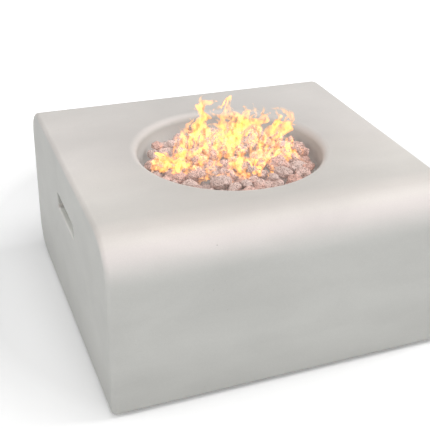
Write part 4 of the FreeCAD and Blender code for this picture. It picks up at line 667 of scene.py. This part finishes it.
# the wedge starts as an even band swept round the knob and widens along its way
ends = [ink_mesh.verts.new((0, 0, WEDGE_RADIUS + wide)) for wide in (0, WEDGE_THIN)]
bmesh.ops.spin(ink_mesh, geom=ends + [ink_mesh.edges.new(ends)], axis=(0, 1, 0),
               angle=WEDGE_SWEEP, steps=WEDGE_STEPS)
for vert in ink_mesh.verts:
    if vert.co.length > WEDGE_RADIUS + WEDGE_THIN / 2:
        along = math.atan2(vert.co.x, vert.co.z) / WEDGE_SWEEP
        vert.co.length = WEDGE_RADIUS + WEDGE_THIN + (WEDGE_WIDE - WEDGE_THIN) * along
printed = bmesh.ops.extrude_face_region(ink_mesh, geom=ink_mesh.faces[:])
bmesh.ops.translate(ink_mesh, vec=(0, INK, 0), verts=[
    v for v in printed["geom"] if isinstance(v, bmesh.types.BMVert)])
bmesh.ops.transform(ink_mesh, verts=ink_mesh.verts, matrix=Matrix.Translation(
    (DIAL_X, PANEL_FACE, DIAL_Z)) @ Matrix.Rotation(WEDGE_FROM, 4, "Y"))

for degrees, text in DIAL_STOPS.items():
    add_bar(ink_mesh, TICK_LONG, TICK_WIDE, INK, on_dial(TICK_RADIUS, degrees))
    numeral_curve = bpy.data.curves.new("numeral", "FONT")
    numeral_curve.body = text
    numeral_curve.size = NUMERAL_HIGH
    numeral_curve.align_x = "CENTER"
    numeral_curve.align_y = "CENTER"
    numeral_curve.extrude = INK / 2
    numeral = bpy.data.objects.new("numeral", numeral_curve)
    bpy.context.scene.collection.objects.link(numeral)
    bpy.context.view_layer.update()
    flat = bpy.data.meshes.new_from_object(
        numeral.evaluated_get(bpy.context.evaluated_depsgraph_get()))
    # the numeral stays upright: it is swung out on the dial and swung back
    flat.transform(on_dial(NUMERAL_RADIUS, degrees)
                   @ Matrix.Rotation(math.radians(degrees), 4, "Z")
                   @ Matrix.Translation((0, 0, INK / 2)))
    ink_mesh.from_mesh(flat)
    bpy.data.objects.remove(numeral)
bmesh.ops.remove_doubles(ink_mesh, verts=ink_mesh.verts, dist=WELD)
bmesh.ops.recalc_face_normals(ink_mesh, faces=ink_mesh.faces)

# Screen-printing ink, baked on: dull black, a little worn where fingers brush it.
ink, *_ = clouded_surface("screen_printing_ink", {"Scale": per(2), "Detail": 4.0},
                          [(0.35, "#1C1C1D"), (0.8, "#4A4A4B")], Roughness=0.6)
add_piece("dial_printing", ink_mesh, "fire_pit", ink)

line_mesh = bmesh.new()
knob_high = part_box("control_knob")[1]
knob_top = Matrix.Translation((0, knob_high.y - PANEL_FACE - LINE_DEEP / 2, 0))
add_bar(line_mesh, LINE_LONG, LINE_WIDE, LINE_DEEP, knob_top @ on_dial(
    knob_high.z - DIAL_Z - LINE_LONG * LINE_INSET, 0))

# Paint wiped into a groove: off-white enamel with dust in its grain.
enamel, *_ = clouded_surface("filled_white_enamel", {"Scale": per(1.5)},
                             [(0.3, "#E4E2DC"), (0.7, "#F1F0EC")], Roughness=0.4)
add_piece("knob_line", line_mesh, "knob", enamel)

# --------------------------------------------------------------------------- lava rock
# The bed is broken scoria, a red-brown and grey volcanic rock full of gas bubbles.
# Each rock is the CAD rock with its edges tumbled round and its skin lumped and pitted.
ROCK_SEED = 4
# corners nearer than this are made one, and every edge is then cut so many times
ROCK_WELD, ROCK_CUTS = 0.01 * MM, 11
# rounds of smoothing that wear the edges off, and how far the rock then swells again
TUMBLING, SWELL = 5, 1.0 * MM
# how wide and how high the coarse and the fine lumps are
LUMPS = ((13 * MM, 2.6 * MM), (5 * MM, 1.5 * MM))
# pits: spacing, depth, and how far one reaches, as a share of the spacing
PIT_SPACING, PIT_DEEP, PIT_REACH = 5 * MM, 2.2 * MM, 0.42
ROCK_TONES = [(0.0, "#D1BBB3"), (0.3, "#DFC6BD"), (0.55, "#E9C5B9"), (0.8, "#DFB3A5"),
              (1.0, "#EED3CA")]
# the darker brown painted into the bubbles as shade
HOLE_SHADE_BROWN = "#987A72"

scoria, tree, shader = new_surface("broken_scoria", Roughness=0.95)
place = add_node(tree, "ShaderNodeTexCoord").outputs["Object"]
tone = add_node(tree, "ShaderNodeAttribute", attribute_name="tone").outputs["Fac"]
stain = add_node(tree, "ShaderNodeTexNoise", {"Vector": place, "Scale": per(12),
                                              "Detail": 4.0})
shifted = add_node(tree, "ShaderNodeMath", {0: tone, 1: stain.outputs["Fac"]},
                   operation="ADD")
spread = add_node(tree, "ShaderNodeMapRange", {"Value": shifted.outputs[0],
                                               "From Min": 0.4, "From Max": 1.6})
# bubbles of 1 mm and less are drawn 2.4 mm apart
bubbles = add_node(tree, "ShaderNodeTexVoronoi", {"Vector": place, "Scale": per(2.4)})
hole = add_node(tree, "ShaderNodeMapRange", {"Value": bubbles.outputs["Distance"],
                                             "From Min": 0.2, "From Max": 0.5})
body_tone = add_node(tree, "ShaderNodeValToRGB", {"Fac": spread.outputs[0]},
                     stops=ROCK_TONES)
# painted shade darkens the insides of the bubbles
add_node(tree, "ShaderNodeMix", {0: hole.outputs[0], 6: linear(HOLE_SHADE_BROWN),
                                 7: body_tone.outputs["Color"]},
         {2: shader.inputs["Base Color"]}, data_type="RGBA")
# crumbs of 0.5 mm, drawn at 1.6 mm
crumbs = add_node(tree, "ShaderNodeTexNoise", {"Vector": place, "Scale": per(1.6),
                                               "Detail": 3.0})
crumbled = add_node(tree, "ShaderNodeBump", {"Height": crumbs.outputs["Fac"],
                                             "Distance": 0.5 * MM})
add_node(tree, "ShaderNodeBump", {"Height": hole.outputs[0], "Distance": 0.6 * MM,
                                  "Normal": crumbled.outputs["Normal"]},
         {"Normal": shader.inputs["Normal"]})

dice = random.Random(ROCK_SEED)
for layer in ("lava_rocks_lower", "lava_rocks_middle", "lava_rocks_upper"):
    bed = bmesh.new()
    bed.from_mesh(nodes[layer].data)
    bmesh.ops.remove_doubles(bed, verts=bed.verts, dist=ROCK_WELD)
    # every rock has a tone of its own, which all its corners carry
    tones = bed.verts.layers.float.new("tone")
    waiting = set(bed.verts)
    for first in bed.verts:
        if first not in waiting:
            continue
        waiting.remove(first)
        rock = [first]
        shade = dice.random()
        for vert in rock:
            vert[tones] = shade
            for edge in vert.link_edges:
                other = edge.other_vert(vert)
                if other in waiting:
                    waiting.remove(other)
                    rock.append(other)
    bmesh.ops.subdivide_edges(bed, edges=bed.edges[:], cuts=ROCK_CUTS,
                              use_grid_fill=True)
    for _ in range(TUMBLING):
        bmesh.ops.smooth_vert(bed, verts=bed.verts, factor=0.5, use_axis_x=True,
                              use_axis_y=True, use_axis_z=True)
    bed.normal_update()
    for vert in bed.verts:
        # the tone moves the pattern too, so that no lump runs on into the next rock
        spot = vert.co + Vector((vert[tones], 0, 0))
        rise = SWELL + sum(deep * noise.noise(spot / wide) for wide, deep in LUMPS)
        nearest = noise.voronoi(spot / PIT_SPACING)[0][0]
        rise -= PIT_DEEP * max(0.0, 1 - nearest / PIT_REACH)
        vert.co += vert.normal * rise
    bed.normal_update()
    piece = add_piece(layer.replace("lava_rocks", "scoria_bed"), bed,
                      "fire_pit", scoria, smooth=True)
    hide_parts(layer)

# ------------------------------------------------------------------------------ flames
# The burning gas isn't part of the product, so it is staged like the floor. Each flame
# is a thin glowing tongue, orange where it is thin and pale yellow where it is deep.
FLAME_LIGHT, FLAME_GLOW = (1.0, 0.43, 0.115, 1.0), 125
# the thinnest and the richest streaks of gas, as shares of that glow
THIN_GAS, RICH_GAS = 0.15, 2.0
# the colour that comes through a flame from behind it, and how strongly it is hidden
FLAME_TINT, FLAME_SHADE = (0.8, 0.5, 0.2, 1.0), 80
# how far apart two flames read the noise that shapes them
SEED_STEP = 1.7
# a tongue's depth as a share of its width, its fullness, and how quickly it opens above
# its foot and closes towards its tip
FLAME_FLAT, FULLNESS, OPENING, CLOSING = 0.5, 1.9, 0.5, 0.9
# how far its line sways across and in depth, in half widths, and how often
SWAY, SWAYS = 1.3, 5
DEEP_SWAY, DEEP_SWAYS = 6, 2
# how deep its sides are torn, coarsely and finely, and how often
TORN, TEARS = 0.9, 3
FRAYED, FRAYS = 0.5, 14
# millimetres: depth y and half width, then x and z of foot, bend and tip
FLAMES = [
    (13, 10, -32, 290, -42, 346, -33, 397), (60, 13, -31, 290, -31, 346, 0, 365),
    (70, 3, -20, 332, -33, 344, -51, 354), (67, 5, -52, 290, -56, 314, -29, 343),
    (11, 10, -25, 290, -7, 334, -30, 372), (57, 5, -22, 290, -47, 311, -67, 310),
    (-4, 8, -48, 284, -78, 300, -83, 322), (-22, 13, -111, 284, -132, 312, -105, 327),
    (-23, 7, -108, 284, -91, 299, -115, 325), (-26, 7, -123, 284, -141, 292, -150, 305),
    (-33, 4, -152, 284, -140, 295, -127, 295), (-19, 4, -107, 284, -84, 308, -55, 284),
    (-51, 3, -113, 284, -106, 294, -109, 304), (-62, 3, -81, 284, -86, 300, -75, 310),
    (40, 2, -112, 290, -112, 296, -106, 301), (-1, 14, 4, 290, 18, 350, -16, 384),
    (70, 6, 52, 295, 66, 326, 57, 345), (70, 4, -12, 315, 28, 310, 35, 337),
    (70, 4, 0, 338, 15, 348, 37, 339), (70, 3, 84, 315, 84, 331, 73, 345),
    (45, 9, 15, 290, 42, 322, 83, 337), (67, 5, 96, 290, 81, 308, 87, 328),
    (18, 9, 96, 290, 130, 326, 89, 354), (-2, 8, 67, 290, 86, 319, 133, 331),
    (26, 4, 99, 290, 119, 304, 138, 295), (-43, 6, 93, 284, 102, 302, 89, 322),
    (-106, 11, 1, 284, -7, 319, 22, 315), (-106, 9, 24, 284, 12, 305, 36, 292),
    (-76, 8, 86, 284, 93, 302, 127, 282), (-48, 4, 95, 284, 123, 286, 115, 315),
    (-71, 8, -3, 284, -30, 322, -12, 346), (-54, 7, -30, 284, -42, 320, -28, 348),
    (-37, 7, -54, 284, -65, 316, -51, 341), (-39, 8, 29, 284, 51, 308, 27, 338),
    (-48, 7, 56, 284, 78, 300, 58, 326), (-15, 7, 11, 284, -5, 318, 17, 341),
    (24, 6, -9, 290, 10, 311, -13, 342), (-104, 2, -31, 284, -35, 300, -24, 309),
    (-97, 2, -1, 284, -5, 296, 4, 306), (-92, 4, 56, 284, 44, 301, 58, 318),
    (8, 6, -57, 284, -38, 297, -57, 319), (-80, 5, -51, 284, -66, 301, -48, 317),
    (30, 9, 40, 290, 66, 326, 98, 342), (20, 9, 78, 288, 104, 320, 134, 334),
    (50, 8, 66, 290, 90, 322, 78, 350), (0, 8, 92, 288, 112, 314, 140, 324),
    (40, 8, 104, 286, 118, 318, 104, 346), (30, 8, -70, 288, -52, 320, -62, 346),
    (-40, 14, -120, 282, -108, 306, -122, 328), (-44, 12, -98, 282, -112, 300, -92, 318),
    (-34, 11, -138, 284, -122, 300, -132, 318), (-60, 5, -92, 284, -76, 298, -62, 292),
]
# small licks between the tongues, in millimetres: they stand on an oval as wide as the
# ring burner, lower towards its edge, with these half widths, heights, leans and curls
LICKS = 230
LICK_REACH, LICK_OVAL, LICK_Y = 112, 0.85, -8
LICK_FOOT, LICK_FALL = 288, 18
LICK_HALF, LICK_HIGH, LICK_LEAN, LICK_CURL = (2, 6), (18, 60), (-12, 26), (-12, 12)
# how much higher they burn in the middle, how much of that goes towards the edge, and how
# far back they would be twice as high
LICK_MIDDLE, LICK_EDGE, LICK_BACK = 1.2, 0.5, 200
# painted light, glowing volumes that lighten the rocks and the shade in the bowl: colour,
# glow, middle and half size in mm, and its fall to the front for each mm
PAINTED_LIGHT_GLOWS = {
    "light_glow_over_the_bed": ((1.0, 0.85, 0.78, 1.0), 1.1, (0, -18, 275), (140, 128, 55), 0),
    "light_glow_in_the_bowl": ((1.0, 0.96, 0.93, 1.0), 1.1, (0, -15, 265), (164, 164, 29), 0.08),
}
# the fire's own light: where it stands in millimetres, its watts, colour and radius
FIRE_PLACES = ((-70, -30, 330), (10, -40, 340), (80, -20, 320))
FIRE_WATTS, FIRE_ORANGE, FIRE_RADIUS = 0.03, (1.0, 0.55, 0.28), 50 * MM


def flame_shape(depth, half, foot, bend, tip, seed):
    """A flat tongue that follows a bent line, with ragged sides and a drawn-out tip."""
    mesh = bmesh.new()
    bmesh.ops.create_uvsphere(mesh, u_segments=16, v_segments=40, radius=1.0)
    foot, bend, tip = (Vector((x, depth, z)) for x, z in (foot, bend, tip))
    pull = 2 * bend - (foot + tip) / 2
    for vert in mesh.verts:
        along = 1 - math.acos(max(-1.0, min(1.0, vert.co.z))) / math.pi
        reach = math.hypot(vert.co.x, vert.co.y)
        side = Vector((vert.co.x, vert.co.y, 0)) / reach if reach > 1e-6 else Vector()
        heading = (pull - foot).lerp(tip - pull, along).normalized()
        across = Vector((heading.z, 0, -heading.x))
        line = foot.lerp(pull, along).lerp(pull.lerp(tip, along), along)
        # each pattern reads the noise at a place of its own, the last number below
        flutter = Vector((seed, along * SWAYS, 0))
        line = line + across * half * noise.noise(flutter) * SWAY
        line.y += DEEP_SWAY * half * along * noise.noise(
            Vector((seed, along * DEEP_SWAYS, 40)))
        torn = noise.noise(flutter + Vector((0, along * TEARS, side.x + 7)))
        frayed = noise.noise(Vector((seed, along * FRAYS, side.x + 3)))
        swell = (half * (1 + TORN * torn + FRAYED * frayed) * FULLNESS
                 * along ** OPENING * (1 - along) ** CLOSING)
        vert.co = line + across * side.x * swell + Vector((0, side.y * swell * FLAME_FLAT, 0))
    return mesh


def new_gas(name):
    """A gas without a surface; gives material, tree, camera rays and volume socket."""
    material, tree, shader = new_surface(name)
    tree.nodes.remove(shader)
    camera_rays = add_node(tree, "ShaderNodeLightPath").outputs["Is Camera Ray"]
    return material, tree, camera_rays, tree.nodes["Material Output"].inputs["Volume"]


licks = []
for _ in range(LICKS):
    turn = dice.uniform(0, 2 * math.pi)
    out = LICK_REACH * dice.random() ** 0.5
    outward = out / LICK_REACH
    foot_x, foot_y = out * math.cos(turn), LICK_OVAL * out * math.sin(turn) + LICK_Y
    foot_z = LICK_FOOT - LICK_FALL * outward ** 2
    rise = (dice.uniform(*LICK_HIGH) * (LICK_MIDDLE - LICK_EDGE * outward)
            * (1 + foot_y / LICK_BACK))
    lean, curl = dice.uniform(*LICK_LEAN), dice.uniform(*LICK_CURL)
    licks.append((foot_y, dice.uniform(*LICK_HALF), foot_x, foot_z,
                  foot_x + lean / 2 + curl, foot_z + rise / 2, foot_x + lean,
                  foot_z + rise))

# Burning gas is clear: it glows, and hides a little of what is behind it.
gas, tree, camera_rays, volume = new_gas("burning_gas")
# streaks of richer gas about 10 mm wide, drawn out upwards
place = add_node(tree, "ShaderNodeTexCoord").outputs["Object"]
drawn_up = add_node(tree, "ShaderNodeMapping", {"Vector": place, "Scale": (1, 1, 0.5)})
streaks = add_node(tree, "ShaderNodeTexNoise", {
    "Vector": drawn_up.outputs[0], "Scale": per(10), "Detail": 1.0, "Distortion": 1.2})
rich = add_node(tree, "ShaderNodeMapRange", {
    "Value": streaks.outputs["Fac"], "From Min": 0.38, "From Max": 0.62,
    "To Min": FLAME_GLOW * THIN_GAS, "To Max": FLAME_GLOW * RICH_GAS})
power = add_node(tree, "ShaderNodeMath", {0: camera_rays, 1: rich.outputs[0]},
                 operation="MULTIPLY")
burn = add_node(tree, "ShaderNodeEmission", {"Color": FLAME_LIGHT,
                                             "Strength": power.outputs[0]})
veil = add_node(tree, "ShaderNodeMath", {0: camera_rays, 1: FLAME_SHADE},
                operation="MULTIPLY")
hidden = add_node(tree, "ShaderNodeVolumeAbsorption", {"Color": FLAME_TINT,
                                                       "Density": veil.outputs[0]})
add_node(tree, "ShaderNodeAddShader", {0: burn.outputs[0], 1: hidden.outputs[0]},
         {0: volume})

for number, (depth, half, *line) in enumerate(FLAMES + licks):
    foot, bend, tip = ((line[i] * MM, line[i + 1] * MM) for i in (0, 2, 4))
    tongue = flame_shape(depth * MM, half * MM, foot, bend, tip, number * SEED_STEP)
    flame = new_object(f"flame_{number}", tongue, gas)

# Painted light is a faint glowing haze: a warm dome over the bed that lightens the rocks, and
# a pale flat disc that fills the bowl up to its lip and lies lower at the front, lightening
# the shade in it.
for name, (colour, power, middle, half, fall) in PAINTED_LIGHT_GLOWS.items():
    glowing_light_fill, tree, camera_rays, volume = new_gas(f"glowing_light_fill_{name}")
    glowing = add_node(tree, "ShaderNodeMath", {0: camera_rays, 1: power},
                       operation="MULTIPLY")
    add_node(tree, "ShaderNodeEmission", {"Color": colour,
                                          "Strength": glowing.outputs[0]}, {0: volume})
    light_glow_mesh = bmesh.new()
    if fall:
        bmesh.ops.create_cone(light_glow_mesh, cap_ends=True, segments=64, radius1=1.0,
                              radius2=1.0, depth=2.0)
    else:
        bmesh.ops.create_uvsphere(light_glow_mesh, u_segments=32, v_segments=16, radius=1.0)
    bmesh.ops.scale(light_glow_mesh, vec=Vector(half) * MM, verts=light_glow_mesh.verts)
    for vert in light_glow_mesh.verts:
        vert.co.z += fall * vert.co.y
    bmesh.ops.translate(light_glow_mesh, vec=Vector(middle) * MM, verts=light_glow_mesh.verts)
    light_glow = new_object(name, light_glow_mesh, glowing_light_fill)

# the fire's warm light falls on the rocks and the bowl
for number, fire_place in enumerate(FIRE_PLACES):
    fire_data = bpy.data.lights.new(f"fire_light_{number}", "POINT")
    fire_data.energy = FIRE_WATTS
    fire_data.color = FIRE_ORANGE
    fire_data.shadow_soft_size = FIRE_RADIUS
    fire = bpy.data.objects.new(f"fire_light_{number}", fire_data)
    fire.location = Vector(fire_place) * MM
    bpy.context.scene.collection.objects.link(fire)
